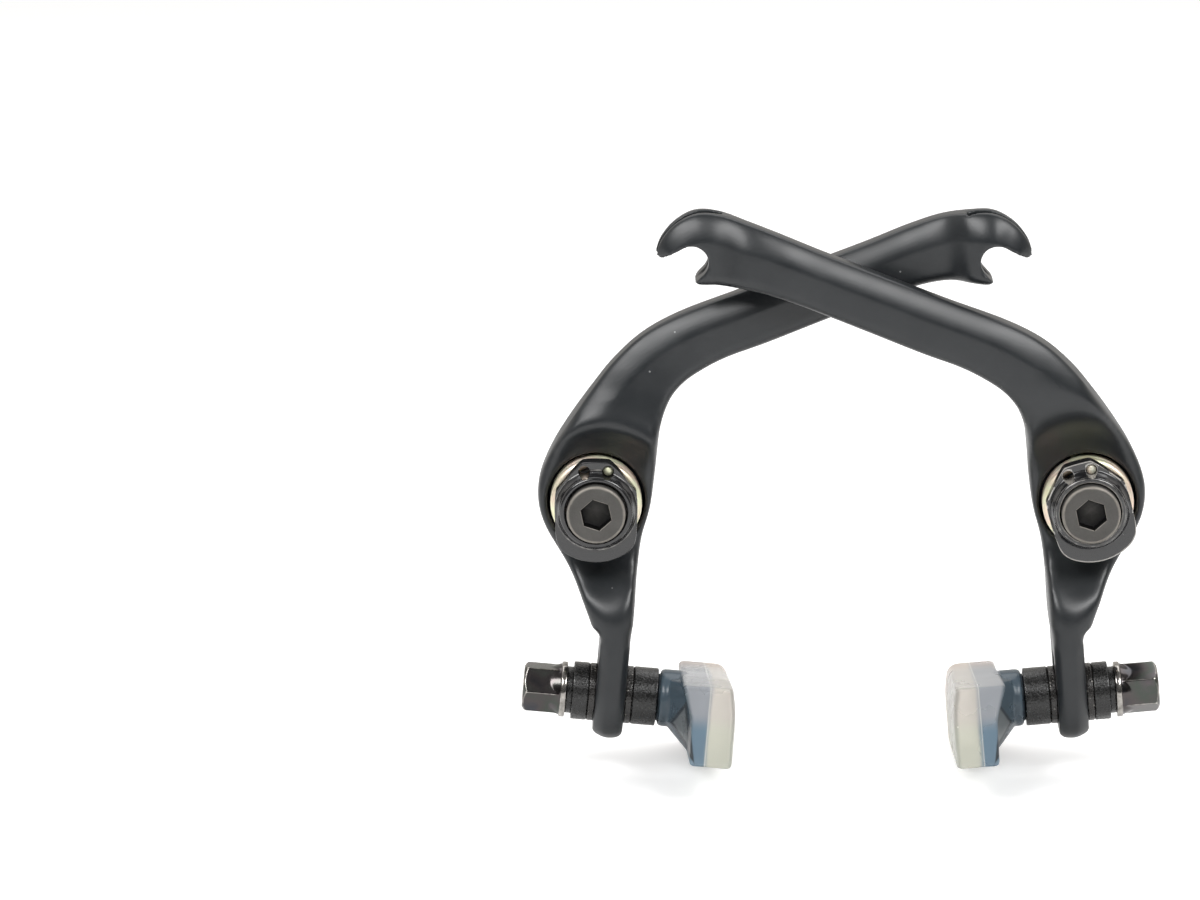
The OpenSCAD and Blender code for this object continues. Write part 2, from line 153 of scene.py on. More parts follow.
def grid_mesh(name, grid, matrix):
    """Closed mesh from a grid of points in mm, set in place by a matrix, with normals outwards."""
    points = grid.reshape(-1, 3) @ matrix[:3, :3].T + matrix[:3, 3]
    mesh = bpy.data.meshes.new(name)
    mesh.from_pydata((points * MM).tolist(), [], grid_faces(*grid.shape[:2]).tolist())
    work = bmesh.new()
    work.from_mesh(mesh)
    bmesh.ops.remove_doubles(work, verts=work.verts, dist=MERGE_DISTANCE)
    bmesh.ops.recalc_face_normals(work, faces=work.faces)
    work.to_mesh(mesh)
    work.free()
    return mesh


print("a grid of 3 rows and 4 columns has", len(grid_faces(3, 4)), "faces")

# %% [markdown]
# Rounded corners in a profile
#
# No real edge is sharp, and it is the small round on an edge that catches the light. A bevel
# modifier could add it to the finished mesh, but a profile is easy to round before it is turned or
# carried along: each corner becomes a short curve, and a point beside it keeps the flat flat.

# %% Eased profiles
SHORT_SIDE_SHARE = 0.42
SUPPORT = 1.15


def eased(profile, radius, steps=4):
    """Profile whose corners are rounded, with a support point beside each round.

    A corner P between A and B becomes (1-t)^2 S + 2t(1-t) P + t^2 E, where S and E lie the radius
    away from P towards A and towards B, or less where a side is short. The two ends stay.
    """
    p = np.asarray(profile, float)
    back, ahead = p[:-2] - p[1:-1], p[2:] - p[1:-1]
    back_length = np.linalg.norm(back[:, :2], axis=1)[:, None]
    ahead_length = np.linalg.norm(ahead[:, :2], axis=1)[:, None]
    room = SHORT_SIDE_SHARE * np.minimum(back_length, ahead_length)
    size = np.minimum(np.resize(radius, len(back))[:, None], room)
    start, end = back / back_length * size, ahead / ahead_length * size
    t = np.linspace(0, 1, steps + 1)[None, :, None]
    rounds = (1 - t) ** 2 * start[:, None] + t ** 2 * end[:, None]
    rounds = np.concatenate([SUPPORT * start[:, None], rounds, SUPPORT * end[:, None]], axis=1)
    rounds = (rounds + p[1:-1, None]).reshape(-1, p.shape[1])
    return np.vstack([p[:1], rounds, p[-1:]])


print("one rounded corner takes", len(eased([(0, 0), (1, 0), (1, 1)], 0.2)), "points")

# %% [markdown]
# Turned pieces
#
# Most small pieces of a brake come off a lathe: a profile turned round an axis. Some are then
# milled, such as the flats of the collar or the hexagon of a key socket. So the profile has a
# third number, the share of an outline that its radius follows: 0 is round, 1 is fully milled.

# %% Turning
def turned(profile, columns=96, outline=None):
    """Surface of revolution as a grid. Profile rows: radius, z and share of the outline.

    Point (theta, s) is at radius r(s) * (1 + share(s) * (outline(theta) - 1)) and height z(s).
    """
    profile = np.asarray(profile, float)
    theta = np.arange(columns) * 2 * np.pi / columns
    ratio = np.ones(columns) if outline is None else outline(theta)
    share = profile[:, 2] if profile.shape[1] > 2 else np.zeros(len(profile))
    radius = profile[:, 0, None] * (1 + share[:, None] * (ratio[None, :] - 1))
    height = np.broadcast_to(profile[:, 1, None], radius.shape)
    return np.stack([radius * np.cos(theta), radius * np.sin(theta), height], axis=-1)


def ring_profile(corners, radius, steps=3):
    """Closed profile of a ring: it starts and ends in the middle of its first side."""
    corners = np.asarray(corners, float)
    middle = (corners[:1] + corners[1:2]) / 2
    return eased(np.vstack([middle, corners[1:], corners[:1], middle]), radius, steps)


def hexagon(theta):
    """Distance to the side of a hexagon, as a ratio to half its width across the flats."""
    return 1 / np.cos((theta + np.pi / 6) % (np.pi / 3) - np.pi / 6)


def prism(outline, z0, z1):
    """Straight prism as a grid, with both ends closed on the middle of its outline."""
    outline = np.asarray(outline, float)
    return capped(np.stack([np.column_stack([outline, np.full(len(outline), z)]) for z in (z0, z1)]))


def post(radius, z0, z1, columns=72):
    """Plain round post as a grid, used to cut bores and holes."""
    return turned([(0, z0), (radius, z0), (radius, z1), (0, z1)], columns)


print("a hexagon's corner is", hexagon(math.pi / 6).round(4), "times as far out as its flat")

# %% [markdown]
# Carving and softening
#
# A forging is not a stack of clean solids: its edges are blunt and its corners run into each
# other. So the arms and the rubber are first carved with boolean modifiers, then rebuilt from
# small cubes of one size and smoothed a little. That blunts every edge alike, also the ones where
# two cuts meet, which a bevel modifier can't do reliably.

# %% Carving
def loose_object(mesh):
    """Object for a mesh, at the origin and in the scene."""
    made = bpy.data.objects.new(mesh.name, mesh)
    bpy.context.scene.collection.objects.link(made)
    return made


def evaluated(piece):
    """Mesh of an object with its modifiers applied. The object is removed."""
    bpy.context.view_layer.update()
    depsgraph = bpy.context.evaluated_depsgraph_get()
    mesh = bpy.data.meshes.new_from_object(piece.evaluated_get(depsgraph))
    bpy.data.objects.remove(piece)
    return mesh


def carved(mesh, joined=(), cut=()):
    """Mesh with some meshes joined to it and then others cut from it."""
    piece = loose_object(mesh)
    tools = []
    for operation, meshes in (("UNION", joined), ("DIFFERENCE", cut)):
        for tool_mesh in meshes:
            tool = loose_object(tool_mesh)
            step = piece.modifiers.new(operation, "BOOLEAN")
            step.operation = operation
            step.solver = "MANIFOLD"
            step.object = tool
            tools.append(tool)
    result = evaluated(piece)
    for tool in tools:
        bpy.data.objects.remove(tool)
    return result


def softened(mesh, cube, passes):
    """Mesh rebuilt from cubes of a size in mm, then smoothed, which blunts its edges."""
    piece = loose_object(mesh)
    rebuild = piece.modifiers.new("rebuild", "REMESH")
    rebuild.mode = "VOXEL"
    rebuild.voxel_size = cube * MM
    rebuild.use_smooth_shade = True
    smooth = piece.modifiers.new("smooth", "SMOOTH")
    smooth.factor = 0.5
    smooth.iterations = passes
    return evaluated(piece)


print("carving uses Blender", bpy.app.version_string)

# %% [markdown]
# Numbers on the points of a mesh
#
# Some looks depend on the shape: paint wears off where an edge sticks out, and a key socket gets
# painted shade inside, where little light reaches. They could be painted by hand. Here the script
# reads a mesh's points and edges as whole arrays, works out one number for each point and stores
# it, for a material to read.

# %% Numbers on a mesh
def mesh_array(items, field, width, kind=float):
    """Values of one field of a mesh's points, normals or edges, a row for each."""
    values = np.empty(len(items) * width, kind)
    items.foreach_get(field, values)
    return values.reshape(-1, width)


def points_of(mesh):
    """Points of a mesh in millimetres."""
    return mesh_array(mesh.vertices, "co", 3) / MM


def links_of(mesh):
    """The two ends a and b of each edge, and the number of edges at each point."""
    edges = mesh_array(mesh.edges, "vertices", 2, int)
    count = np.bincount(edges.ravel(), minlength=len(mesh.vertices)) + 1e-9
    return edges[:, 0], edges[:, 1], count


def mean_near(values, a, b, count):
    """Mean of the values at the far ends of each point's edges."""
    return (np.bincount(a, values[b], len(values)) + np.bincount(b, values[a], len(values))) / count


def seen_from(place, points):
    """The x, y and z of points in a local frame."""
    inverse = np.linalg.inv(place)
    return (points @ inverse[:3, :3].T + inverse[:3, 3]).T


def store(mesh, name, values):
    """Keeps one number for each point on the mesh."""
    layer = mesh.attributes.new(name, "FLOAT", "POINT")
    layer.data.foreach_set("value", values.astype(np.float32))


def blunted(mesh, weight_at, passes):
    """Smooths a mesh where a weight says so: p moves by weight / 2 * (mean of neighbours - p)."""
    points, links = points_of(mesh), links_of(mesh)
    weight = 0.5 * weight_at(points)
    for _ in range(passes):
        for axis in range(3):
            points[:, axis] += weight * (mean_near(points[:, axis], *links) - points[:, axis])
    mesh.vertices.foreach_set("co", (points * MM).ravel())
    mesh.update()
    return mesh


def store_corner(mesh, spread=2):
    """Stores how convex each point is: the mean over its edges of normal . direction outwards.

    It is about 0 on a flat, positive on an edge that sticks out and negative in a corner. The
    values are averaged with their neighbours a few times, so the number is a soft band.
    """
    points = points_of(mesh)
    a, b, count = links_of(mesh)
    normals = mesh_array(mesh.vertex_normals, "vector", 3)
    step = points[a] - points[b]
    step /= np.linalg.norm(step, axis=1)[:, None] + 1e-9
    at_a = np.einsum("ij,ij->i", normals[a], step)
    at_b = -np.einsum("ij,ij->i", normals[b], step)
    value = (np.bincount(a, at_a, len(points)) + np.bincount(b, at_b, len(points))) / count
    for _ in range(spread):
        value = 0.5 * (value + mean_near(value, a, b, count))
    store(mesh, "corner", value)
    return value


sample = grid_mesh("sample", post(2, 0, 4), np.eye(4))
print("the edge of a plain post is convex by", store_corner(sample, spread=0).max().round(2))
bpy.data.meshes.remove(sample)

# %% [markdown]
# Showing a piece
#
# A finished piece takes the place of the plain one of the imported model. It rides on the same body,
# so it moves with its joint. The right-hand pieces are mirrored, which turns a mesh inside out, so
# their faces are flipped back.

# %% Showing a piece
PIECES = {}


def mirrored(mesh, side):
    """The mesh itself on the left, and mirrored across the wheel's plane on the right."""
    if side == "right":
        mesh.transform(Matrix(MIRROR[side].tolist()))
        mesh.flip_normals()
    return mesh


def show_piece(node, mesh, smooth_angle=None):
    """Object for a finished mesh. It replaces the CAD node of that name and rides its body."""
    mesh.name = node + "_finish"
    mesh.polygons.foreach_set("use_smooth", np.ones(len(mesh.polygons), bool))
    if smooth_angle is not None:
        mesh.set_sharp_from_angle(angle=math.radians(smooth_angle))
    piece = loose_object(mesh)
    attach(piece, BODY_OF[node])
    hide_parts(node)
    PIECES[node] = piece
    return piece


# %% [markdown]
# The arms' outline
#
# Each arm is an aluminium forging. A smith would describe it by the line along its middle and by
# the section across that line, and so does this: 28 stations from the leg's tip to the claw of the
# cable hook, each with its outer edge, its inner edge and how far it reaches to the front and back.
# A smooth curve through the stations gives the sections between them.

# %% Stations
OUTLINE = np.array([
    (1.0, -43.4, 3.2, -43.5), (0.1, -42.8, 4.1, -43.0),
    (-0.7, -41.4, 4.8, -41.6), (-0.6, -39.0, 5.0, -39.4),
    (-0.3, -35.0, 5.3, -35.5), (0.1, -29.5, 5.8, -30.0),
    (0.0, -24.5, 6.3, -24.5), (-1.8, -19.0, 6.8, -19.0),
    (-4.6, -12.5, 7.2, -13.0), (-8.2, -6.5, 8.0, -7.0),
    (-10.0, -1.5, 9.4, -1.5), (-10.0, 3.5, 10.2, 4.0),
    (-7.6, 9.5, 10.7, 9.5), (-4.2, 15.0, 11.4, 14.2),
    (-0.6, 20.2, 13.0, 18.5), (3.3, 25.2, 15.4, 21.5),
    (8.5, 30.0, 18.8, 23.9), (15.3, 33.8, 23.5, 26.3),
    (25.7, 37.8, 30.5, 28.9), (37.5, 42.4, 41.1, 33.2),
    (48.1, 46.5, 51.2, 37.2), (55.1, 49.4, 58.0, 39.5),
    (61.1, 51.6, 63.0, 40.5), (66.0, 52.8, 66.5, 40.6),
    (70.4, 52.9, 68.8, 40.5), (74.0, 51.0, 70.0, 40.6),
    (76.4, 48.2, 70.8, 41.2), (77.4, 45.6, 71.4, 41.9)])
LEG_DEPTHS = [
    (-1.2, 1.2), (-3.2, 3.2), (-5, 5), (-6.3, 6.3), (-7, 7), (-7, 7), (-7, 7),
    (-7, 7.4), (-7, 8.4), (-7, 9.6), (-7, 10.4), (-7, 10.6)]
HOOK_DEPTHS = [(-4.25, 4.25), (-4.25, 4.25), (-4, 4), (-3.2, 3.2)]
REAR_DEPTHS = np.array(LEG_DEPTHS + [
    (-5, 10.2), (-2, 9.2), (-0.6, 8.4), (0, 8), (0.4, 7.8), (0.6, 7.6), (0.6, 7.6),
    (0.6, 7.6), (0.6, 7.6), (0.6, 7.6), (-0.2, 6.9), (-3.2, 4.8)] + HOOK_DEPTHS)
FRONT_DEPTHS = np.array(LEG_DEPTHS + [
    (-7.2, 10), (-7.6, 8.6), (-7.6, 6.4), (-7.6, 4), (-7.6, 1.8), (-7.6, 0.2), (-7.6, -0.6),
    (-7.6, -0.6), (-7.6, -0.6), (-7.6, -0.6), (-6.9, 0.2), (-4.8, 3.2)] + HOOK_DEPTHS)
EDGE_RADIUS = 1.7
BEVEL_DEPTH = 2.2
BEVEL_WIDTH = 4.6
BEVEL_POWER = 1.5
CROWN = 0.03


def smooth_rows(rows, steps):
    """Catmull-Rom curve through the rows, with a number of steps from each row to the next."""
    held = np.vstack([rows[:1], rows, rows[-1:]])
    a, b, c, d = held[:-3, None], held[1:-2, None], held[2:-1, None], held[3:, None]
    t = (np.arange(steps) / steps)[None, :, None]
    curve = 2 * b + (c - a) * t + (2 * a - 5 * b + 4 * c - d) * t ** 2
    curve = 0.5 * (curve + (3 * b - a - 3 * c + d) * t ** 3)
    return np.vstack([curve.reshape(-1, rows.shape[1]), rows[-1:]])


def forging(depths):
    """Grid of an arm: stations along it, and a rounded section round it.

    A section is a rectangle of half width a and half depth b. Its corners are quarter ellipses
    (cos t, sin t), and the one that faces up and to the front is a soft chamfer, (cos^e t, sin^e t).
    The sides bulge: depth grows by the crown * (1 - (width / a)^2), and width grows the same way.
    """
    rows = smooth_rows(np.hstack([OUTLINE, depths]), 8)
    outer, inner, front, back = rows[:, 0:2], rows[:, 2:4], rows[:, 4], rows[:, 5]
    half_width = np.linalg.norm(outer - inner, axis=1)[:, None] / 2
    half_depth = (back - front)[:, None] / 2
    edge = np.minimum(EDGE_RADIUS, 0.8 * np.minimum(half_width, half_depth))
    bevel = (np.minimum(BEVEL_DEPTH, 0.8 * half_depth), np.minimum(BEVEL_WIDTH, 0.8 * half_width))
    turn = np.radians(np.linspace(0, 90, 9))[None, :]
    corners = []
    for k, (deep, wide) in enumerate([(edge, edge), bevel, (edge, edge), (edge, edge)]):
        deep_sign, wide_sign = (1, -1, -1, 1)[k], (1, 1, -1, -1)[k]
        power = BEVEL_POWER if k == 1 else 1
        first, second = np.cos(turn + k * np.pi / 2), np.sin(turn + k * np.pi / 2)
        depth = deep_sign * (half_depth - deep * (1 - np.abs(first) ** power))
        width = wide_sign * (half_width - wide * (1 - np.abs(second) ** power))
        corners.append(np.stack([depth, width], axis=-1))
    fill = (np.arange(1, 6) / 6)[None, :, None]
    section = []
    for k in range(4):
        last, first = corners[k][:, -1:], corners[(k + 1) % 4][:, :1]
        section += [corners[k], last * (1 - fill) + first * fill]
    depth, width = np.moveaxis(np.concatenate(section, axis=1), -1, 0)
    full_depth = depth * (1 + CROWN * (1 - (width / half_width) ** 2))
    full_width = width * (1 + CROWN * (1 - (depth / half_depth) ** 2))
    across = (outer - inner) / (2 * half_width)
    place = (outer + inner)[:, None] / 2 + full_width[..., None] * across[:, None]
    y = (front + back)[:, None] / 2 + full_depth
    return capped(np.stack([place[..., 0], place[..., 1], -y], axis=-1))


print(len(OUTLINE), "stations,", forging(REAR_DEPTHS).shape, "points on an arm")

# %% [markdown]
# Cutting the arms
#
# The forging is then machined: a recess with a flared wall round the pivot, the bore for the
# bushing, a pocket for the spring, the slot and the washer seats for the pad's stud, and in the
# hook a round notch with an open mouth and a saw slot that splits it for the cable. The cutters
# sit in the same local frames as the pieces that later go into those places.

# %% Cutters
RECESS_Y = 1.0
BARREL_REAR = 13.0
BARREL_LENGTH = 8.0
BARREL_R = 9.6
ARM_BORE_R = 6.1
SPRING_POCKET_R = 8.8
LEG_SEAT = 5.4
SLOT_R = 2.65
SLOT_TOP = 5.4
SEAT_LOW, SEAT_HIGH = -9.0, 12.4
NOTCH = np.array([71.1, 44.6])
NOTCH_R = 3.0
FORK_WIDTH = 2.2
FLARE = [
    (9, -1), (11, -0.5), (12.8, 0.6), (14.2, 2.0), (15.6, 3.6), (17.2, 5.2),
    (19.2, 6.6), (21.8, 7.6), (25, 8.2)]


def slot_outline(radius, length, steps=16):
    """Outline of a slot: two half rounds, the upper one its length higher."""
    t = np.radians(np.linspace(0, 180, steps))
    upper = np.column_stack([radius * np.cos(t), radius * np.sin(t) + length])
    return np.vstack([upper, -upper + [0, length]])


def arm_cutters():
    """Meshes that the machining takes away, all in the left arm's place."""
    pivot, stud = on_pivot(0), on_stud(0)
    recess = [(0, -1)] + FLARE + [(25, 22), (0, 22)]
    mouth = [NOTCH + (1.12, 2.78), (75.6, 45.5), (84, 41), (76, 33), (71.2, 40.2), NOTCH - (2.12, 2.12)]
    fork = [(65.4, 58), (84, 58), (84, 41), (70.2, 41.2), (68.7, 42.1), (67.6, 44), (66, 49)]
    grids = {
        "recess": (turned(recess), pivot),
        "bore": (post(ARM_BORE_R, -BARREL_REAR - 1, 5), pivot),
        "pocket": (post(SPRING_POCKET_R, -RECESS_Y - 3.5, 5), pivot),
        "slot": (prism(slot_outline(SLOT_R, SLOT_TOP), -15, 15), stud),
        "notch": (post(NOTCH_R, -20, 20), moved(pivot, *NOTCH)),
        "mouth": (prism(mouth, -19, 19), pivot),
        "fork": (prism(fork, -FORK_WIDTH / 2, FORK_WIDTH / 2), pivot)}
    seat = [(-8, SEAT_LOW), (8, SEAT_LOW), (8, SEAT_HIGH), (-8, SEAT_HIGH)]
    for side in (-1, 1):
        near, far = sorted([side * LEG_SEAT / 2, side * (LEG_SEAT / 2 + 4)])
        grids["seat" + str(side)] = (prism(seat, near, far), stud)
    return [grid_mesh(name, grid, place) for name, (grid, place) in grids.items()]


print("recess", 2 * FLARE[0][0], "mm wide at its floor, fork slot", FORK_WIDTH, "mm wide")

# %% [markdown]
# Soft places, and a worn and painted pale band
#
# Two places on the real arm are softer than its edges: the flared wall of the recess, which runs
# out into the leg, and the upper end of the washers' seats. They get extra smoothing, weighted by
# how near a point is. The housing's upper outer edge is worn pale and also gets a painted
# reflection of the bright backdrop, so that band gets a number too.

# %% Arms
ARM_CUBE = 0.3
FLARE_BAND = 6.0
SEAT_BAND = 2.0
SOFT_PASSES = 160
WEAR_AND_SHEEN_ANGLE = 145
WEAR_AND_SHEEN_SPREAD = 22


def soft_places(points):
    """Weight that is 1 on the recess's flared wall and at the seats' upper end, and fades out."""
    x, y, z = seen_from(on_pivot(0), points)
    reach = np.hypot(x, y)
    radius, height = np.array(FLARE).T
    wall = np.interp(z, height, radius)
    flare = (1 - np.abs(reach - wall) / FLARE_BAND).clip(0, 1) * ((reach - 9.5) / 1.5).clip(0, 1)
    x, y, z = seen_from(on_stud(0), points)
    beside = (1 - np.abs(np.abs(z) - LEG_SEAT / 2) / SEAT_BAND).clip(0, 1)
    seat_end = (1 - np.abs(y - SEAT_HIGH) / SEAT_BAND).clip(0, 1) * beside
    return np.maximum(flare, seat_end)


def store_wear_and_sheen(mesh, side):
    """Stores the housing's pale band, worn and a painted reflection: exp(-((angle - middle) / spread)^2).
    """
    x, y, z = seen_from(MIRROR[side] @ on_pivot(0), points_of(mesh))
    angle = np.degrees(np.arctan2(y, x))
    near = (np.abs(z) < 7) * (np.hypot(x, y) > 9)
    # A pale band on the housing's upper outer edge: partly wear, partly a painted reflection.
    store(mesh, "wear_and_sheen", np.exp(-((angle - WEAR_AND_SHEEN_ANGLE) / WEAR_AND_SHEEN_SPREAD) ** 2) * near)


for side, depths in (("left", REAR_DEPTHS), ("right", FRONT_DEPTHS)):
    blank = grid_mesh("blank", forging(depths), on_pivot(0))
    barrel_grid = post(BARREL_R, -BARREL_REAR, BARREL_LENGTH - BARREL_REAR)
    barrel = grid_mesh("barrel", barrel_grid, on_pivot(0))
    machined = carved(blank, joined=[barrel], cut=arm_cutters())
    mesh = mirrored(blunted(softened(machined, ARM_CUBE, 5), soft_places, SOFT_PASSES), side)
    convex = store_corner(mesh)
    store_wear_and_sheen(mesh, side)
    show_piece(side + "_arm", mesh)
    print(side, "arm has", len(mesh.polygons), "faces, its edges are convex by", convex.max().round(2))

# %% [markdown]
# The parts on the pivot
#
# A steel bushing is clamped on the frame's boss and the arm turns on it. In front of it sits the
# tension collar, which a spanner turns to wind the spring, and the bolt that holds everything.
# All three are turned pieces. The bushing is the plainest: a ring with a wider front bore.

# %% Bushing
BUSHING_R = 6.0
BUSHING_FRONT = -0.6
BUSHING_REAR = MID_Y
BOSS_BORE_R = 4.55
BOSS_BORE_END = BUSHING_REAR + 7.2
bushing_corners = [
    (BUSHING_R, BUSHING_REAR), (BUSHING_R, BUSHING_FRONT), (4.8, BUSHING_FRONT),
    (4.8, BOSS_BORE_END), (BOSS_BORE_R, BOSS_BORE_END), (BOSS_BORE_R, BUSHING_REAR)]
for side in SIDES:
    grid = turned(ring_profile(bushing_corners, 0.3))
    mesh = mirrored(grid_mesh("bushing", grid, on_pivot(0)), side)
    show_piece(side + "_pivot_bushing", mesh)
print("bushing from", round(BUSHING_REAR, 1), "to", BUSHING_FRONT, "mm")

# %% [markdown]
# The tension collar
#
# The collar's plate is milled to two flats, two shoulders and a short top. It could be cut with
# boolean boxes, but its profile can follow an outline instead, the nearest of those sides at each
# angle, eased where it meets the round. Only the two spring holes are cut afterwards.

# %% Tension collar
COLLAR_R = 9.8
COLLAR_BACK = 2.59
COLLAR_THICK = 3.0
FLAT_HALF = 7.5
SHOULDER = 7.88
SHOULDER_NORMAL = (0.769, 0.639)
TOP_FLAT = 9.2
MILLED_EASE = 0.25
ROUND_EASE = 1.4
COIL_R = 7.35
SPRING_HOLE_R = 1.05
SPRING_HOLE_ANGLES = (73, 107)
COLLAR_TURN = {"left": 0, "right": -16}


def smooth_min(a, b, width):
    """Smaller of two values, eased over a width: (a + b - sqrt((a - b)^2 + width^2)) / 2."""
    return (a + b - np.sqrt((a - b) ** 2 + width ** 2)) / 2


def collar_outline(theta):
    """Distance to the nearest milled side of the plate, as a ratio to its round edge."""
    x, y = np.abs(np.cos(theta)) + 1e-9, np.sin(theta)
    shoulder = SHOULDER / np.maximum(SHOULDER_NORMAL[0] * x + SHOULDER_NORMAL[1] * y, 0.3)
    top = TOP_FLAT / np.maximum(y, 0.3)
    flat = np.minimum(FLAT_HALF / x, 2 * FLAT_HALF - 1)
    milled = smooth_min(smooth_min(flat, shoulder, MILLED_EASE), top, MILLED_EASE)
    return smooth_min(milled, COLLAR_R + 0.1, ROUND_EASE) / COLLAR_R


plate_front = COLLAR_BACK + COLLAR_THICK
collar_corners = [
    (3.2, -0.6, 0), (5.6, -0.6, 0), (5.6, COLLAR_BACK, 0), (COLLAR_R, COLLAR_BACK, 1),
    (COLLAR_R, plate_front, 1), (7.3, plate_front, 0), (6.9, plate_front + 0.5, 0),
    (6.6, plate_front + 1.3, 0), (6.5, plate_front + 2.1, 0), (6.2, plate_front + 2.4, 0),
    (5.5, plate_front + 2.4, 0), (5.5, plate_front + 0.2, 0), (3.2, plate_front + 0.2, 0)]
collar_grid = turned(ring_profile(collar_corners, 0.35), 240, collar_outline)
for side in SIDES:
    place = spun(on_pivot(0), COLLAR_TURN[side])
    holes = []
    for angle in np.radians(SPRING_HOLE_ANGLES):
        centre = COIL_R * np.array([np.cos(angle), np.sin(angle)])
        holes.append(grid_mesh("hole", post(SPRING_HOLE_R, 0, 12, 48), moved(place, *centre)))
    mesh = mirrored(carved(grid_mesh("collar", collar_grid, place), cut=holes), side)
    store_corner(mesh, spread=0)
    show_piece(side + "_tension_collar", mesh, smooth_angle=38)
print("collar plate", COLLAR_THICK, "mm thick,", 2 * FLAT_HALF, "mm across its flats")

# %% [markdown]
# The pivot bolt
#
# The bolt is an M6 screw with a round head and a socket for a 5 mm key. It is one profile that
# comes down the head, turns inwards and goes down into the socket, where it follows a hexagon.
# Hardly any light gets into the socket, so shade is painted on its walls to make them dark.

# %% Pivot bolt
BOLT_R = 3.0
HEAD_R = 5.25
HEAD_BACK = plate_front + 0.2
HEAD_HEIGHT = 3.8
KEY_HALF = 2.5
KEY_DEPTH = 2.7
THREAD_REAR = BOSS_BORE_END + 0.2
SOCKET_TURN = {"left": 42, "right": 18}
head_front = HEAD_BACK + HEAD_HEIGHT
key_floor = head_front - KEY_DEPTH
bolt_corners = [
    (0, THREAD_REAR, 0), (BOLT_R, THREAD_REAR, 0), (BOLT_R, -0.4, 0), (BOLT_R - 0.1, -0.4, 0),
    (BOLT_R - 0.1, HEAD_BACK, 0), (HEAD_R, HEAD_BACK, 0), (HEAD_R, head_front, 0),
    (KEY_HALF, head_front, 1), (KEY_HALF, key_floor, 1), (0, key_floor - 1.0, 0)]
bolt_rounds = [0.5, 0.05, 0.05, 0.3, 0.2, 0.6, 0.16, 0.1]


def store_socket_shade(mesh, side):
    """Stores 1 on the socket's walls, inside its mouth and above its floor, where shade is painted, and 0
    elsewhere.
    """
    x, y, z = seen_from(MIRROR[side] @ on_pivot(0), points_of(mesh))
    wall = (np.hypot(x, y) < BOLT_R) * (z < head_front - 0.12) * (z > key_floor - 0.05)
    store(mesh, "socket", wall)


for side in SIDES:
    key_angle = math.radians(SOCKET_TURN[side] + 30)
    grid = turned(eased(bolt_corners, bolt_rounds), 144, lambda theta: hexagon(theta - key_angle))
    mesh = mirrored(grid_mesh("bolt", grid, on_pivot(0)), side)
    store_corner(mesh, spread=0)
    store_socket_shade(mesh, side)
    show_piece(side + "_pivot_bolt", mesh)
print("bolt head", 2 * HEAD_R, "mm wide, key", 2 * KEY_HALF, "mm")

# %% [markdown]
# The return spring
#
# The spring is one wire: a straight end in a hole of the arm, three coils round the bushing and a
# straight end in a hole of the collar. So it is a circle carried along a path. The path is a helix
# whose last turn ends where the collar's hole is, with a short quadratic bend into each end. The
# collar has two holes, and the left spring ends in its first one and the right spring in the other.

# %% Return spring
WIRE_R = 0.85
COIL_TURNS = 3
COIL_PITCH = 1.76
COIL_REAR = -3.6
LEG_ANGLE = 73
HOLE_STEP = {"left": 0, "right": SPRING_HOLE_ANGLES[1] - SPRING_HOLE_ANGLES[0]}
ANCHOR_DEPTH = 3.0
BEND = 1.2


def spring_path(collar_turn):
    """Centre line: z grows with the turn, (x, y) = coil radius * (cos a, sin a)."""
    turns = np.linspace(0.03, COIL_TURNS - 0.03, 44 * COIL_TURNS)
    sweep = (2 * np.pi * COIL_TURNS + math.radians(collar_turn)) / COIL_TURNS

    def at(turn):
        angle = math.radians(LEG_ANGLE) + sweep * np.asarray(turn)
        height = COIL_REAR + COIL_PITCH * np.asarray(turn)
        return np.stack([COIL_R * np.cos(angle), COIL_R * np.sin(angle), height], axis=-1)

    t = np.linspace(0, 1, 6)[1:-1, None]
    start, end = at(0.0), at(float(COIL_TURNS))
    rear, front = start - [0, 0, BEND], end + [0, 0, BEND]
    rear_bend = (1 - t) ** 2 * rear + 2 * t * (1 - t) * start + t ** 2 * at(turns[0])
    front_bend = (1 - t) ** 2 * at(turns[-1]) + 2 * t * (1 - t) * end + t ** 2 * front
    tip = [end[0], end[1], plate_front - 0.4]
    return np.vstack([start - [0, 0, ANCHOR_DEPTH], rear, rear_bend, at(turns), front_bend, front, tip])


def wire(path, radius, columns=20):
    """Circle carried along a path, closed at both ends.

    Ring i is path[i] + radius * (cos p * up + sin p * side), where side is across both the path
    and the line from the axis, and up is across the path and side.
    """
    along = np.gradient(path, axis=0)
    along /= np.linalg.norm(along, axis=1)[:, None]
    side = np.cross(along, path * [1, 1, 0])
    side /= np.linalg.norm(side, axis=1)[:, None]
    up = np.cross(side, along)
    p = np.arange(columns) * 2 * np.pi / columns
    rings = np.cos(p)[None, :, None] * up[:, None] + np.sin(p)[None, :, None] * side[:, None]
    return capped(path[:, None] + radius * rings)


for side in SIDES:
    path = spring_path(COLLAR_TURN[side] + HOLE_STEP[side])
    mesh = mirrored(grid_mesh("spring", wire(path, WIRE_R), on_pivot(0)), side)
    show_piece(side + "_return_spring", mesh)
    wire_length = np.linalg.norm(np.diff(path, axis=0), axis=1).sum()
    print(side, "spring wire", round(wire_length), "mm long")

# %% [markdown]
# The stack on the pad's stud
#
# Between the arm and the pad, and between the arm and the nut, a domed washer sits in a cup
# spacer, so that the pad can tilt before the nut is tightened. All are rings, so each is a closed
# profile turned round the stud. The seat is part of one sphere, in the washer and in the spacer.

# %% Washers and spacers
WASHER_R = 5.2
STUD_BORE_R = 2.65
DOME_R = 8.0
DOME_RIM = 1.2
DOME_EDGE_R = 5.0
SEAT_GAP = 0.02
INNER_LENGTH = 4.5
OUTER_LENGTH = 2.9
FLAT_R = 4.2
FLAT_THICK = 1.1
seat_start = LEG_SEAT / 2 + SEAT_GAP
dome_offset = DOME_RIM - math.sqrt(DOME_R ** 2 - DOME_EDGE_R ** 2)


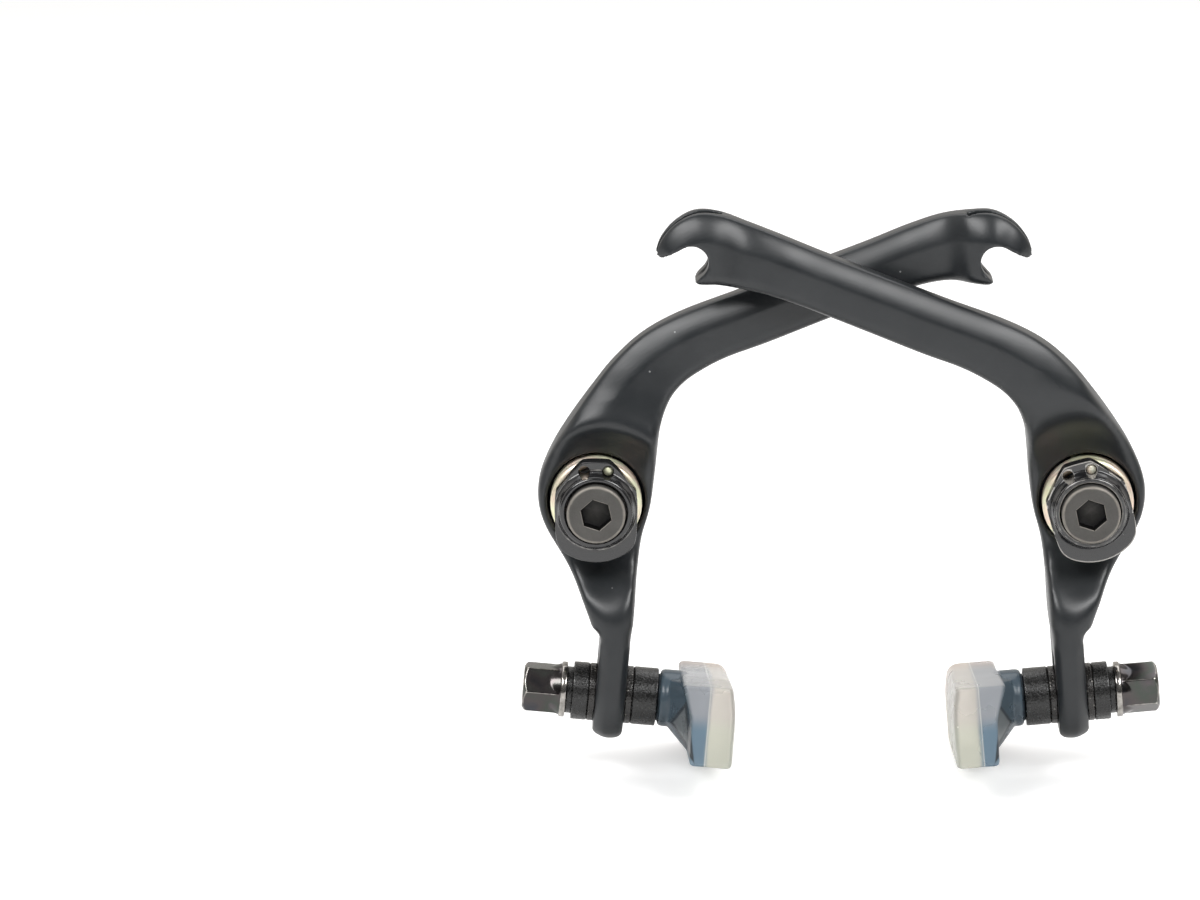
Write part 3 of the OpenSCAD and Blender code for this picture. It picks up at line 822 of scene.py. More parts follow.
def dome(first, last, lift=0.0, steps=10):
    """Arc of the seat's sphere from one radius to another: z = sqrt(R^2 - r^2) + offset."""
    r = np.linspace(first, last, steps)
    return np.column_stack([r, np.sqrt(DOME_R ** 2 - r ** 2) + dome_offset + lift])


domed = np.vstack([[(4.4, 0), (WASHER_R, 0), (WASHER_R, DOME_RIM - 0.1)],
                   dome(DOME_EDGE_R, STUD_BORE_R), [(STUD_BORE_R, 0)]])


def cup(length):
    """Closed profile of a cup spacer: the seat at its back, straight sides and a flat front."""
    top = DOME_RIM + length
    return np.vstack([[(4.0, top), (STUD_BORE_R, top)], dome(STUD_BORE_R, DOME_EDGE_R, 0.01),
                      [(WASHER_R, DOME_RIM + 0.25), (WASHER_R, top)]])


flat = [(3.5, 0), (FLAT_R, 0), (FLAT_R, FLAT_THICK), (STUD_BORE_R, FLAT_THICK), (STUD_BORE_R, 0)]
stack = {
    "inner_domed_washer": (domed, seat_start, 1),
    "inner_cup_spacer": (cup(INNER_LENGTH), seat_start, 1),
    "outer_domed_washer": (domed, seat_start, -1),
    "outer_cup_spacer": (cup(OUTER_LENGTH), seat_start, -1),
    "flat_washer": (flat, seat_start + DOME_RIM + OUTER_LENGTH, -1)}
for name, (corners, start, direction) in stack.items():
    for side in SIDES:
        grid = turned(ring_profile(corners, 0.22))
        mesh = mirrored(grid_mesh(name, grid, on_stud(start, direction)), side)
        show_piece(side + "_" + name, mesh)
print(len(stack), "kinds of ring a side")

# %% [markdown]
# The pad nut
#
# The nut has a round flange, a conical neck and a hexagon whose outer corners are chamfered. The
# curved lines where cone and hexagon meet are what the eye reads as a real nut. They come out by
# themselves when the radius is worked out over the whole surface as the larger of the neck and the
# hexagon, and then the smaller of that and the chamfer, with the turn from one to the other eased.

# %% Pad nut
NUT_LENGTH = 7.8
NUT_HALF = 4.0
FLANGE = 1.1
FLANGE_R = WASHER_R - 0.2
NECK = 2.0
CORNER_R = NUT_HALF / math.cos(math.pi / 6)
NUT_TURN = {"left": 32, "right": 3}
NUT_EASE = 0.12
CHAMFER_SLOPE = 1.5
RIM_ROUND = 0.25
nut_start = seat_start + DOME_RIM + OUTER_LENGTH + FLAT_THICK


def nut_surface(turn, columns=216):
    """Nut as a grid: radius over (z, theta) from flange, neck, hexagon and chamfer, then its bore."""
    theta = np.arange(columns) * 2 * np.pi / columns
    rim_z = [0, 0.04, 0.12, 0.25, FLANGE - 0.25, FLANGE - 0.1, FLANGE - 0.02, FLANGE + 0.02]
    z = np.concatenate([rim_z, np.linspace(FLANGE + 0.1, NUT_LENGTH, 56)])[:, None]
    hexagonal = NUT_HALF * hexagon(theta - math.radians(turn))[None, :]
    neck = FLANGE_R - 0.3 - (z - FLANGE) * (FLANGE_R - 0.2 - NUT_HALF) / NECK
    body = -smooth_min(-np.broadcast_to(hexagonal, (len(z), columns)), -neck, NUT_EASE)
    chamfer = CORNER_R + 0.12 - CHAMFER_SLOPE * np.maximum(z - NUT_LENGTH + 0.7, 0)
    body = smooth_min(body, chamfer, NUT_EASE)
    round_back = np.sqrt(np.clip(1 - (1 - z / RIM_ROUND).clip(0, 1) ** 2, 0, 1))
    rim = FLANGE_R - RIM_ROUND * (1 - round_back)
    rim = rim - 0.2 * ((z - FLANGE + RIM_ROUND) / RIM_ROUND).clip(0, 1) ** 2
    radius = np.where(z <= FLANGE, rim, body)
    inner = np.array([3.1, 2.9, STUD_BORE_R - 0.1, STUD_BORE_R - 0.1, 2.9])
    inner_z = np.array([NUT_LENGTH, NUT_LENGTH - 0.05, NUT_LENGTH - 0.4, 0.3, 0])
    radius = np.vstack([radius, np.repeat(inner[:, None], columns, axis=1)])
    height = np.repeat(np.concatenate([z[:, 0], inner_z])[:, None], columns, axis=1)
    grid = np.stack([radius * np.cos(theta), radius * np.sin(theta), height], axis=-1)
    return np.concatenate([grid, grid[:1]])


for side in SIDES:
    mesh = mirrored(grid_mesh("nut", nut_surface(NUT_TURN[side]), on_stud(nut_start, -1)), side)
    store_corner(mesh, spread=3)
    show_piece(side + "_pad_nut", mesh)
print("nut", NUT_LENGTH, "mm long,", 2 * NUT_HALF, "mm across the flats")

# %% [markdown]
# The pad
#
# The pad is moulded in clear rubber round a steel plate that is welded to the stud. The steel comes
# first, because it shows through the rubber. The stud is turned and its plate is a prism with round
# corners, and a boolean union makes one piece of them, as the weld does.

# %% Pad stud
SHOULDER_START = seat_start + DOME_RIM + INNER_LENGTH + 0.05
STUD_END = nut_start + NUT_LENGTH - 1.4
STUD_RADIUS = 2.5
ROOT_R = 4.3
PLATE_BACK = 14.8
PLATE_THICK = 2.7
PLATE_HALF = 19.5
PLATE_LOW, PLATE_HIGH = -7.9, 3.2
stud_corners = [
    (0, -STUD_END), (STUD_RADIUS, -STUD_END), (STUD_RADIUS, SHOULDER_START), (ROOT_R, SHOULDER_START),
    (ROOT_R, PLATE_BACK + 1), (0, PLATE_BACK + 1)]


def rounded_rectangle(left, right, low, high, radius, steps=8):
    """Outline of a rectangle with round corners."""
    t = np.radians(np.linspace(0, 90, steps))
    corners = [(right - radius, high - radius), (left + radius, high - radius),
               (left + radius, low + radius), (right - radius, low + radius)]
    parts = []
    for k, corner in enumerate(corners):
        angle = t + k * np.pi / 2
        parts.append(corner + radius * np.column_stack([np.cos(angle), np.sin(angle)]))
    return np.vstack(parts)


for side in SIDES:
    shaft = grid_mesh("shaft", turned(eased(stud_corners, 0.4)), on_stud(0, 1, PAD_TURN))
    plate_outline = rounded_rectangle(-PLATE_HALF, PLATE_HALF, PLATE_LOW, PLATE_HIGH, 2.0)
    plate_grid = prism(plate_outline, PLATE_BACK, PLATE_BACK + PLATE_THICK)
    plate = grid_mesh("plate", plate_grid, on_stud(0, 1, PAD_TURN))
    mesh = mirrored(carved(shaft, joined=[plate]), side)
    show_piece(side + "_pad_stud", mesh, smooth_angle=38)
print("stud from", round(-STUD_END, 1), "to", PLATE_BACK + PLATE_THICK, "mm along its axis")

# %% [markdown]
# The pad's rubber
#
# The block's section is a rounded shape carried along its length, whose upper corners are sharp at
# the front end and round at the far end. A gusset runs from the boss round the stud into the
# block's back: its section changes from a circle to a rounded rectangle. The three are joined and
# softened like the arms, and each point stores where it lies on the pad, for the rubber's layers.

# %% Pad rubber
PAD_HALF = 22.5
FACE = 22.0
BACK_TOP, BACK_LOW = 12.2, 14.2
TOP, BOTTOM = 4.8, -9.5
BOSS_START = SHOULDER_START + 0.3
BOSS_END = 13.4
BOSS_R = 5.15
NEAR_ROUND, FAR_ROUND = 0.5, 2.3
RUBBER_CUBE = 0.26


def pad_section(round_top, pull):
    """Outline across the pad as (height, reach) points, its braking face pulled back at the ends."""
    face = FACE - pull
    corners = np.array([
        (BOTTOM, 17.0), (BOTTOM, face + 0.1), (-3.0, face + 0.1), (0.6, face), (TOP, face - 0.8),
        (TOP, 16.0), (TOP, BACK_TOP), (-1.2, BACK_LOW), (BOTTOM, BACK_LOW + 0.3), (BOTTOM, 17.0)])
    return eased(corners, [0.7, 3, 3, round_top, 1, round_top, 1.5, 0.8], steps=5)


def pad_block():
    """Grid of the block: sections along it, with upper corners of radius near + (far - near) * s^1.5."""
    ends = np.array([0.0, 0.05, 0.2, 0.5, 1.0, 1.7])
    along = np.concatenate([ends, np.linspace(3, 42, 14), 2 * PAD_HALF - ends[::-1]])
    share = along / (2 * PAD_HALF)
    depth = np.minimum(along, 2 * PAD_HALF - along)
    pull = 0.5 * (1 - depth / 1.7).clip(0, 1) ** 1.5
    shrink = 0.04 * (1 - depth / 0.5).clip(0, 1) ** 2
    rounds = NEAR_ROUND + (FAR_ROUND - NEAR_ROUND) * share ** 1.5
    sections = np.stack([pad_section(size, p) for size, p in zip(rounds, pull)])[:, :-1]
    middle = sections.mean(axis=1, keepdims=True)
    sections = sections * (1 - shrink)[:, None, None] + middle * shrink[:, None, None]
    x = np.broadcast_to((along - PAD_HALF)[:, None], sections.shape[:2])
    return capped(np.stack([x, sections[..., 0], sections[..., 1]], axis=-1))


def pad_gusset():
    """Grid from the boss to the block: the section is (1 - s) * circle + s * rounded rectangle."""
    wide = rounded_rectangle(-12, 12, BOTTOM + 1.0, TOP - 0.6, 3.0, 16)
    angle = np.arctan2(wide[:, 1], wide[:, 0] * 0.4)
    circle = (BOSS_R - 0.3) * np.column_stack([np.cos(angle), np.sin(angle)])
    z = np.linspace(BOSS_START + 1.4, BACK_LOW + 1.2, 12)
    s = ((z - z[0]) / (BACK_LOW + 0.4 - z[0])).clip(0, 1)[:, None, None]
    outline = (1 - s) * circle + s * wide
    height = np.broadcast_to(z[:, None], outline.shape[:2])
    return capped(np.concatenate([outline, height[..., None]], axis=-1))


def store_place(mesh, side):
    """Stores where each point lies on the pad, in mm: along it, its height, and along the stud."""
    local = seen_from(MIRROR[side] @ on_stud(0, 1, PAD_TURN), points_of(mesh))
    for name, values in zip(("pad_along", "pad_height", "pad_reach"), local):
        store(mesh, name, values)


for side in SIDES:
    place = on_stud(0, 1, PAD_TURN)
    block = grid_mesh("block", pad_block(), place)
    gusset = grid_mesh("gusset", pad_gusset(), place)
    boss_corners = [(0, BOSS_START), (BOSS_R, BOSS_START), (BOSS_R, BOSS_END), (0, BOSS_END)]
    boss = grid_mesh("boss", turned(eased(boss_corners, [0.9, 0.3])), place)
    mesh = mirrored(softened(carved(block, joined=[gusset, boss]), RUBBER_CUBE, 3), side)
    store_place(mesh, side)
    store_corner(mesh, spread=4)
    show_piece(side + "_pad_rubber", mesh)
    print(side, "pad has", len(mesh.polygons), "faces")

# %% [markdown]
# Shader nodes in few words
#
# A material is a tree of nodes. Written out one by one, its nodes and links fill pages, so a few
# small functions stand for the steps that come back: add a node with its inputs, run a value
# through a colour ramp, do a sum, or mix two colours.

# %% Node helpers
def node_tree(owner):
    """Empty node tree of a material or world."""
    owner.use_nodes = True
    owner.node_tree.nodes.clear()
    return owner.node_tree


def add(tree, kind, inputs=None, **settings):
    """A node of a kind with settings, its inputs set from values or linked from sockets."""
    made = tree.nodes.new(kind)
    for key, value in settings.items():
        setattr(made, key, value)
    for key, value in (inputs or {}).items():
        if isinstance(value, bpy.types.NodeSocket):
            tree.links.new(value, made.inputs[key])
        else:
            made.inputs[key].default_value = value
    return made


def ramp(tree, factor, *stops):
    """A colour ramp on a factor. Each stop is a position and a colour."""
    made = add(tree, "ShaderNodeValToRGB", {"Fac": factor})
    elements = made.color_ramp.elements
    while len(elements) < len(stops):
        elements.new(0.5)
    for element, (position, colour) in zip(elements, stops):
        element.position = position
        element.color = (*colour, 1)
    return made.outputs["Color"]


def math_node(tree, operation, a, b=0.0, clamp=False):
    """One sum of two values."""
    return add(tree, "ShaderNodeMath", {0: a, 1: b}, operation=operation, use_clamp=clamp).outputs[0]


def blend(tree, factor, a, b):
    """Mix of two colours."""
    made = add(tree, "ShaderNodeMix", data_type="RGBA")
    for index, value in ((0, factor), (6, a), (7, b)):
        if isinstance(value, bpy.types.NodeSocket):
            tree.links.new(value, made.inputs[index])
        else:
            made.inputs[index].default_value = value if index == 0 else (*value, 1)
    return made.outputs[2]


def over(tree, tone, mask, amount, colour):
    """Lays a colour over a tone where a mask is, by an amount at most."""
    return blend(tree, math_node(tree, "MULTIPLY", mask, amount), tone, colour)


def attribute(tree, name):
    """The number that is stored on the mesh under a name."""
    return add(tree, "ShaderNodeAttribute", attribute_name=name).outputs["Fac"]


def grey(value):
    """A grey colour."""
    return (value, value, value)


print("a middle grey is", grey(0.18))

# %% [markdown]
# Effects that finishes share
#
# Three effects turn up on more than one material, so each is a shader node group that is built
# once: fine grain, wear on edges that stick out, and pale specks. Each material places them with
# its own scale and amount. They read object coordinates or a stored number, so a pattern stays on
# its piece when the piece moves. The grain comes first: noise at one scale, and cloudier noise.

# %% Fine grain
CLOUD_SHARE = 0.06


def new_group(name, inputs, output_names):
    """Node group with its sockets. Inputs: name and default, a number, or None for a vector."""
    group = bpy.data.node_groups.new(name, "ShaderNodeTree")
    for socket, default in inputs:
        kind = "NodeSocketVector" if default is None else "NodeSocketFloat"
        made = group.interface.new_socket(name=socket, in_out="INPUT", socket_type=kind)
        if default is not None:
            made.default_value = default
    for socket in output_names:
        group.interface.new_socket(name=socket, in_out="OUTPUT", socket_type="NodeSocketFloat")
    return group, group.nodes.new("NodeGroupInput").outputs


def noise(tree, vector, scale, detail):
    """Soft noise between 0 and 1."""
    inputs = {"Vector": vector, "Scale": scale, "Detail": detail}
    return add(tree, "ShaderNodeTexNoise", inputs).outputs["Fac"]


GRAIN, given = new_group("fine_grain", [("Position", None), ("Scale", 1500.0)], ["Fine", "Broad"])
fine = noise(GRAIN, given["Position"], given["Scale"], 3.0)
cloud_scale = math_node(GRAIN, "MULTIPLY", given["Scale"], CLOUD_SHARE)
broad = noise(GRAIN, given["Position"], cloud_scale, 4.0)
add(GRAIN, "NodeGroupOutput", {"Fine": fine, "Broad": broad})
print("shared effect", GRAIN.name)

# %% [markdown]
# Worn edges
#
# Black coatings wear through where hands and tools touch them, on edges that stick out. The mask
# is 1 where the stored convexity, made ragged by noise, is above a start, and 0 elsewhere.

# %% Worn edges
WEAR_STEEPNESS = 12.0
wear_inputs = [("Position", None), ("Corner", 0.0), ("Start", 0.1), ("Raggedness", 0.1), ("Scale", 400.0)]
WEAR, given = new_group("worn_edges", wear_inputs, ["Mask"])
ragged = math_node(WEAR, "SUBTRACT", noise(WEAR, given["Position"], given["Scale"], 5.0), 0.5)
swing = math_node(WEAR, "MULTIPLY", ragged, given["Raggedness"])
above = math_node(WEAR, "SUBTRACT", math_node(WEAR, "ADD", given["Corner"], swing), given["Start"])
add(WEAR, "NodeGroupOutput", {"Mask": math_node(WEAR, "MULTIPLY", above, WEAR_STEEPNESS, clamp=True)})
print(WEAR.name, "goes from bare to coated over", round(1 / WEAR_STEEPNESS, 3), "of convexity")

# %% [markdown]
# Pale specks
#
# Dust and tiny chips are dots of one size, scattered. A Voronoi texture gives every cell a middle
# and a random colour: a dot is where the middle is near, and only a share of the cells gets one.

# %% Specks
speck_inputs = [("Position", None), ("Scale", 500.0), ("Size", 0.12), ("Share", 0.1)]
SPECKS, given = new_group("pale_specks", speck_inputs, ["Mask"])
cell_inputs = {"Vector": given["Position"], "Scale": given["Scale"]}
cells = add(SPECKS, "ShaderNodeTexVoronoi", cell_inputs).outputs
near = math_node(SPECKS, "LESS_THAN", cells["Distance"], given["Size"])
chance = add(SPECKS, "ShaderNodeSeparateColor", {"Color": cells["Color"]}).outputs[0]
picked = math_node(SPECKS, "LESS_THAN", chance, given["Share"])
add(SPECKS, "NodeGroupOutput", {"Mask": math_node(SPECKS, "MULTIPLY", near, picked)})
print(len(bpy.data.node_groups), "shared effects")

# %% [markdown]
# Starting a finish
#
# Every finish starts the same way: a Principled shader with its plain values, object coordinates
# and the grain. These helpers make that start and place the shared effects. The last one gives the
# finished material to the pieces of a kind on both sides.

# %% Finish helpers
def material_with(name, values):
    """Material, its tree, its Principled shader with plain values, and its object coordinates."""
    material = bpy.data.materials.new(name)
    tree = node_tree(material)
    shader = add(tree, "ShaderNodeBsdfPrincipled", values)
    add(tree, "ShaderNodeOutputMaterial", {"Surface": shader.outputs[0]})
    return material, tree, shader, add(tree, "ShaderNodeTexCoord").outputs["Object"]


def place_group(tree, group, **inputs):
    """Outputs of a shared effect that is placed in a material."""
    return add(tree, "ShaderNodeGroup", inputs, node_tree=group).outputs


def worn_mask(tree, position, corner, start, raggedness, scale=900.0):
    """Where a coating is worn through."""
    values = {"Corner": corner, "Start": start, "Raggedness": raggedness, "Scale": scale}
    return place_group(tree, WEAR, Position=position, **values)["Mask"]


def speck_mask(tree, position, scale, size, share):
    """Where the specks are."""
    return place_group(tree, SPECKS, Position=position, Scale=scale, Size=size, Share=share)["Mask"]


def tint(tree, shader, tone):
    """Feeds a colour to the shader."""
    tree.links.new(tone, shader.inputs["Base Color"])


def shine(tree, shader, factor, *stops):
    """Feeds the shader's roughness from a factor. Each stop is a position and a roughness."""
    rough = ramp(tree, factor, *[(position, grey(value)) for position, value in stops])
    tree.links.new(rough, shader.inputs["Roughness"])


def bump(tree, shader, height, distance, strength):
    """Feeds a height to the shader's normal, the distance in metres."""
    made = add(tree, "ShaderNodeBump", {"Height": height, "Distance": distance, "Strength": strength})
    tree.links.new(made.outputs[0], shader.inputs["Normal"])


def paint(material, *kinds):
    """Gives a material to the pieces of a kind on both sides."""
    for kind in kinds:
        for side in SIDES:
            mesh = PIECES[side + "_" + kind].data
            mesh.materials.clear()
            mesh.materials.append(material)
    print(material.name, "is on", 2 * len(kinds), "pieces")


print("finish helpers ready")

# %% [markdown]
# Satin black arms
#
# The arms are anodised black over a blasted forging. That is almost black with a soft sheen, which
# comes from a fine grain more than from its colour. Wear shows as a ragged pale edge. On the
# housing's upper outer edge the pale colour is stronger: there it is partly wear and partly a
# painted reflection of the bright backdrop. There is a little dust.

# %% Arms' finish
material, tree, shader, position = material_with("arm_satin_black", {"Specular IOR Level": 0.5})
grain = place_group(tree, GRAIN, Position=position, Scale=2600.0)
# The housing's pale band: partly wear, partly a painted reflection of the bright backdrop.
wear_and_sheen = math_node(tree, "MULTIPLY", attribute(tree, "wear_and_sheen"), 0.16)
edge = math_node(tree, "ADD", attribute(tree, "corner"), wear_and_sheen)
tone = ramp(tree, grain["Broad"], (0.3, (0.012, 0.014, 0.016)), (0.7, (0.018, 0.020, 0.022)))
tone = over(tree, tone, worn_mask(tree, position, edge, 0.3, 0.5, 260.0), 0.35, grey(0.20))
tone = over(tree, tone, speck_mask(tree, position, 900.0, 0.16, 0.012), 0.5, grey(0.42))
tint(tree, shader, tone)
shine(tree, shader, grain["Broad"], (0.25, 0.30), (0.75, 0.38))
bump(tree, shader, grain["Fine"], 0.00002, 0.35)
paint(material, "arm")

# %% [markdown]
# Glossy black collars
#
# The collars are plated and shine like wet paint, so they get a low roughness and a strong
# reflection. Their edges are worn to thin pale lines, because a spanner grips them.

# %% Collars' finish
material, tree, shader, position = material_with("collar_gloss_black", {"Specular IOR Level": 0.8})
grain = place_group(tree, GRAIN, Position=position, Scale=1800.0)
worn = worn_mask(tree, position, attribute(tree, "corner"), 0.05, 0.12)
dust = speck_mask(tree, position, 1500.0, 0.15, 0.03)
tone = over(tree, (0.010, 0.010, 0.011), dust, 0.4, grey(0.3))
tint(tree, shader, over(tree, tone, worn, 0.7, (0.50, 0.48, 0.45)))
shine(tree, shader, grain["Broad"], (0.3, 0.10), (0.7, 0.20))
bump(tree, shader, grain["Broad"], 0.00004, 0.25)
paint(material, "tension_collar")

# %% [markdown]
# Matte black bolts
#
# Black oxide on a bolt is thin and matte, and looks brownish grey beside the gloss of the collar.
# The stored socket number paints shade on the key socket's walls, which makes them nearly black.

# %% Bolts' finish
material, tree, shader, position = material_with("bolt_black_oxide", {"Metallic": 0.6})
grain = place_group(tree, GRAIN, Position=position, Scale=3200.0)
worn = worn_mask(tree, position, attribute(tree, "corner"), 0.04, 0.06)
tone = ramp(tree, grain["Broad"], (0.3, (0.078, 0.075, 0.070)), (0.7, (0.100, 0.096, 0.090)))
tone = over(tree, tone, worn, 0.6, (0.36, 0.33, 0.29))
# Painted shade: the key socket's walls are made nearly black.
tint(tree, shader, blend(tree, attribute(tree, "socket"), tone, grey(0.004)))
shine(tree, shader, grain["Fine"], (0.3, 0.46), (0.7, 0.62))
bump(tree, shader, grain["Fine"], 0.00002, 0.4)
paint(material, "pivot_bolt")

# %% [markdown]
# Yellow zinc springs and steel bushings
#
# Yellow zinc plating has no one colour: it drifts from straw to green and pink, so a cloudy noise
# picks the hue. The bushing is bare turned steel. Its tool marks are rings round its axis, noise
# that changes along the axis only.

# %% Springs' and bushings' finish
material, tree, shader, position = material_with("spring_yellow_zinc", {"Metallic": 0.7})
grain = place_group(tree, GRAIN, Position=position, Scale=2200.0)
tint(tree, shader, ramp(
    tree, grain["Broad"], (0.30, (0.86, 0.78, 0.50)), (0.45, (0.84, 0.85, 0.62)),
    (0.58, (0.90, 0.72, 0.60)), (0.70, (0.78, 0.84, 0.70))))
shine(tree, shader, grain["Fine"], (0.3, 0.34), (0.7, 0.48))
bump(tree, shader, grain["Fine"], 0.00002, 0.3)
paint(material, "return_spring")

material, tree, shader, position = material_with("bushing_turned_steel", {"Metallic": 1.0})
depth = add(tree, "ShaderNodeSeparateXYZ", {"Vector": position}).outputs["Y"]
rings = noise(tree, add(tree, "ShaderNodeCombineXYZ", {"Y": depth}).outputs[0], 6000.0, 3.0)
tint(tree, shader, ramp(tree, rings, (0.3, (0.42, 0.43, 0.44)), (0.7, (0.56, 0.57, 0.58))))
shine(tree, shader, rings, (0.3, 0.25), (0.7, 0.42))
bump(tree, shader, rings, 0.00002, 0.3)
paint(material, "pivot_bushing")

# %% [markdown]
# Spacers and washers
#
# Both are black, but they don't look alike. The spacers have a coarse grain that sparkles in tiny
# points, and the domed washers are oxide-black steel with more and brighter points. So both get
# the same nodes: small pale specks painted into the colour as glints, a rough and a smooth grain,
# and a bump of the same grain.

# %% Spacers' and washers' finish
material, tree, shader, position = material_with("spacer_sparkling_black", {"Specular IOR Level": 0.6})
grain = place_group(tree, GRAIN, Position=position, Scale=2600.0)
# Pale specks painted into the colour stand for glints.
painted_glints = speck_mask(tree, position, 2400.0, 0.30, 0.14)
tint(tree, shader, over(tree, grey(0.008), painted_glints, 0.15, grey(0.20)))
shine(tree, shader, grain["Fine"], (0.35, 0.16), (0.65, 0.38))
bump(tree, shader, grain["Fine"], 0.00010, 0.9)
paint(material, "inner_cup_spacer", "outer_cup_spacer", "flat_washer")

oxide = {"Metallic": 0.5, "Specular IOR Level": 0.9}
material, tree, shader, position = material_with("washer_black_oxide", oxide)
grain = place_group(tree, GRAIN, Position=position, Scale=2400.0)
# Pale specks painted into the colour stand for glints.
painted_glints = speck_mask(tree, position, 2400.0, 0.34, 0.12)
tint(tree, shader, over(tree, (0.026, 0.024, 0.023), painted_glints, 0.5, (0.42, 0.40, 0.36)))
shine(tree, shader, grain["Fine"], (0.3, 0.12), (0.7, 0.34))
bump(tree, shader, grain["Fine"], 0.00012, 0.9)
paint(material, "inner_domed_washer", "outer_domed_washer")

# %% [markdown]
# Black nickel nuts and dark studs
#
# Black nickel is a dark mirror, so the nut is a metal with a low roughness and a broad, shallow
# bump that bends its reflections. Spanners have worn its edges bright. The stud is dark steel.

# %% Nuts' and studs' finish
material, tree, shader, position = material_with("nut_black_nickel", {"Metallic": 1.0})
grain = place_group(tree, GRAIN, Position=position, Scale=2600.0)
tone = ramp(
    tree, grain["Broad"], (0.30, (0.06, 0.065, 0.075)), (0.45, (0.09, 0.08, 0.08)),
    (0.58, (0.075, 0.085, 0.075)), (0.7, (0.12, 0.10, 0.11)))
worn = worn_mask(tree, position, attribute(tree, "corner"), 0.06, 0.12)
tint(tree, shader, blend(tree, worn, tone, (0.62, 0.59, 0.55)))
shine(tree, shader, grain["Broad"], (0.3, 0.12), (0.7, 0.26))
bump(tree, shader, grain["Broad"], 0.00008, 0.5)
paint(material, "pad_nut")

material, tree, shader, position = material_with("stud_dark_steel", {"Metallic": 0.4})
grain = place_group(tree, GRAIN, Position=position, Scale=2600.0)
tint(tree, shader, ramp(tree, grain["Broad"], (0.3, (0.045, 0.06, 0.075)), (0.7, (0.07, 0.09, 0.11))))
shine(tree, shader, grain["Fine"], (0.3, 0.35), (0.7, 0.5))
bump(tree, shader, grain["Fine"], 0.00002, 0.4)
paint(material, "pad_stud")

# %% [markdown]
# Masks on the pad
#
# The rubber's layers follow lines across the pad's section, and the section's two coordinates are
# stored on each point. So a mask can be worked out like a drawing: the distance to the left of a
# line, the smallest of such distances for a shape with straight sides, and a soft step at zero.

# %% Mask helpers
def side_of(tree, reach, height, start, end):
    """Distance in mm to the left of a line: along.x * (h - start.y) - along.y * (r - start.x)."""
    along = Vector(end) - Vector(start)
    along.normalize()
    offset = along.y * start[0] - along.x * start[1]
    inputs = {0: reach, 1: -along.y, 2: offset}
    part = add(tree, "ShaderNodeMath", inputs, operation="MULTIPLY_ADD").outputs[0]
    inputs = {0: height, 1: along.x, 2: part}
    return add(tree, "ShaderNodeMath", inputs, operation="MULTIPLY_ADD").outputs[0]


def inside(tree, reach, height, corners):
    """Distance in mm inside a shape whose corners go round anticlockwise, negative outside it."""
    nearest = side_of(tree, reach, height, corners[-1], corners[0])
    for start, end in zip(corners, corners[1:]):
        nearest = math_node(tree, "MINIMUM", nearest, side_of(tree, reach, height, start, end))
    return nearest


def step_up(tree, value, low, high):
    """0 at low, 1 at high and smooth between them."""
    made = add(tree, "ShaderNodeMapRange", {"Value": value, "From Min": low, "From Max": high})
    made.interpolation_type = "SMOOTHSTEP"
    return made.outputs[0]


print("masks ready")

# %% [markdown]
# Clear rubber
#
# The rubber lets light through but isn't clear like glass. Over the plate and the stud it looks
# blue-grey, because the dark steel shows through, and towards the braking face it is cream. Real
# depth inside the rubber would be slow to render and noisy, so these layers are painted by the
# stored place, and some transmission adds the true softness. A thin bright line marks where the
# halves of the mould met, and a small three-sided window in the gusset shows lighter.

# %% Rubber finish
PARTING_REACH = 17.2
CREAM_FROM = 17.6
WINDOW = [(13.3, -0.6), (11.6, -3.7), (14.6, -7.3)]
LIGHT_EDGE = [(12.6, 4.8), (14.3, -1.2)]

rubber = {"Transmission Weight": 0.4, "IOR": 1.42, "Specular IOR Level": 0.5}
material, tree, shader, position = material_with("pad_clear_rubber", rubber)
grain = place_group(tree, GRAIN, Position=position, Scale=900.0)
reach, height = attribute(tree, "pad_reach"), attribute(tree, "pad_height")
drift = math_node(tree, "MULTIPLY", math_node(tree, "SUBTRACT", grain["Broad"], 0.5), 2.0)
soft_reach = math_node(tree, "ADD", reach, drift)
soft_height = math_node(tree, "SUBTRACT", height, drift)
low = step_up(tree, soft_height, 0.0, -3.5)
layers = blend(tree, low, (0.40, 0.42, 0.45), (0.19, 0.28, 0.36))
past_edge = math_node(tree, "SUBTRACT", reach, LIGHT_EDGE[1][0])
lit = math_node(tree, "MAXIMUM", side_of(tree, reach, soft_height, *LIGHT_EDGE), past_edge)
tone = blend(tree, step_up(tree, lit, -0.3, 0.5), (0.09, 0.125, 0.155), layers)
window = inside(tree, reach, height, WINDOW)
tone = blend(tree, step_up(tree, window, -0.6, -0.3), tone, (0.055, 0.065, 0.075))
tone = blend(tree, step_up(tree, window, -0.2, 0.2), tone, (0.20, 0.22, 0.23))
cream = blend(tree, low, (0.63, 0.60, 0.55), (0.62, 0.63, 0.54))
tone = blend(tree, step_up(tree, soft_reach, CREAM_FROM - 0.6, CREAM_FROM + 0.5), tone, cream)
far = step_up(tree, attribute(tree, "pad_along"), 6.0, 20.0)
tone = over(tree, tone, far, 0.45, (0.72, 0.54, 0.43))
from_parting = math_node(tree, "ABSOLUTE", math_node(tree, "SUBTRACT", reach, PARTING_REACH))
line = step_up(tree, from_parting, 0.16, 0.05)
edge = math_node(tree, "MULTIPLY", step_up(tree, attribute(tree, "corner"), 0.14, 0.34), 0.3)
bright = math_node(tree, "MAXIMUM", math_node(tree, "MULTIPLY", line, 0.6), edge)
tint(tree, shader, blend(tree, bright, tone, (0.85, 0.85, 0.80)))
shine(tree, shader, grain["Broad"], (0.3, 0.22), (0.7, 0.34))
bump(tree, shader, math_node(tree, "ADD", grain["Broad"], line), 0.00006, 0.4)
paint(material, "pad_rubber")

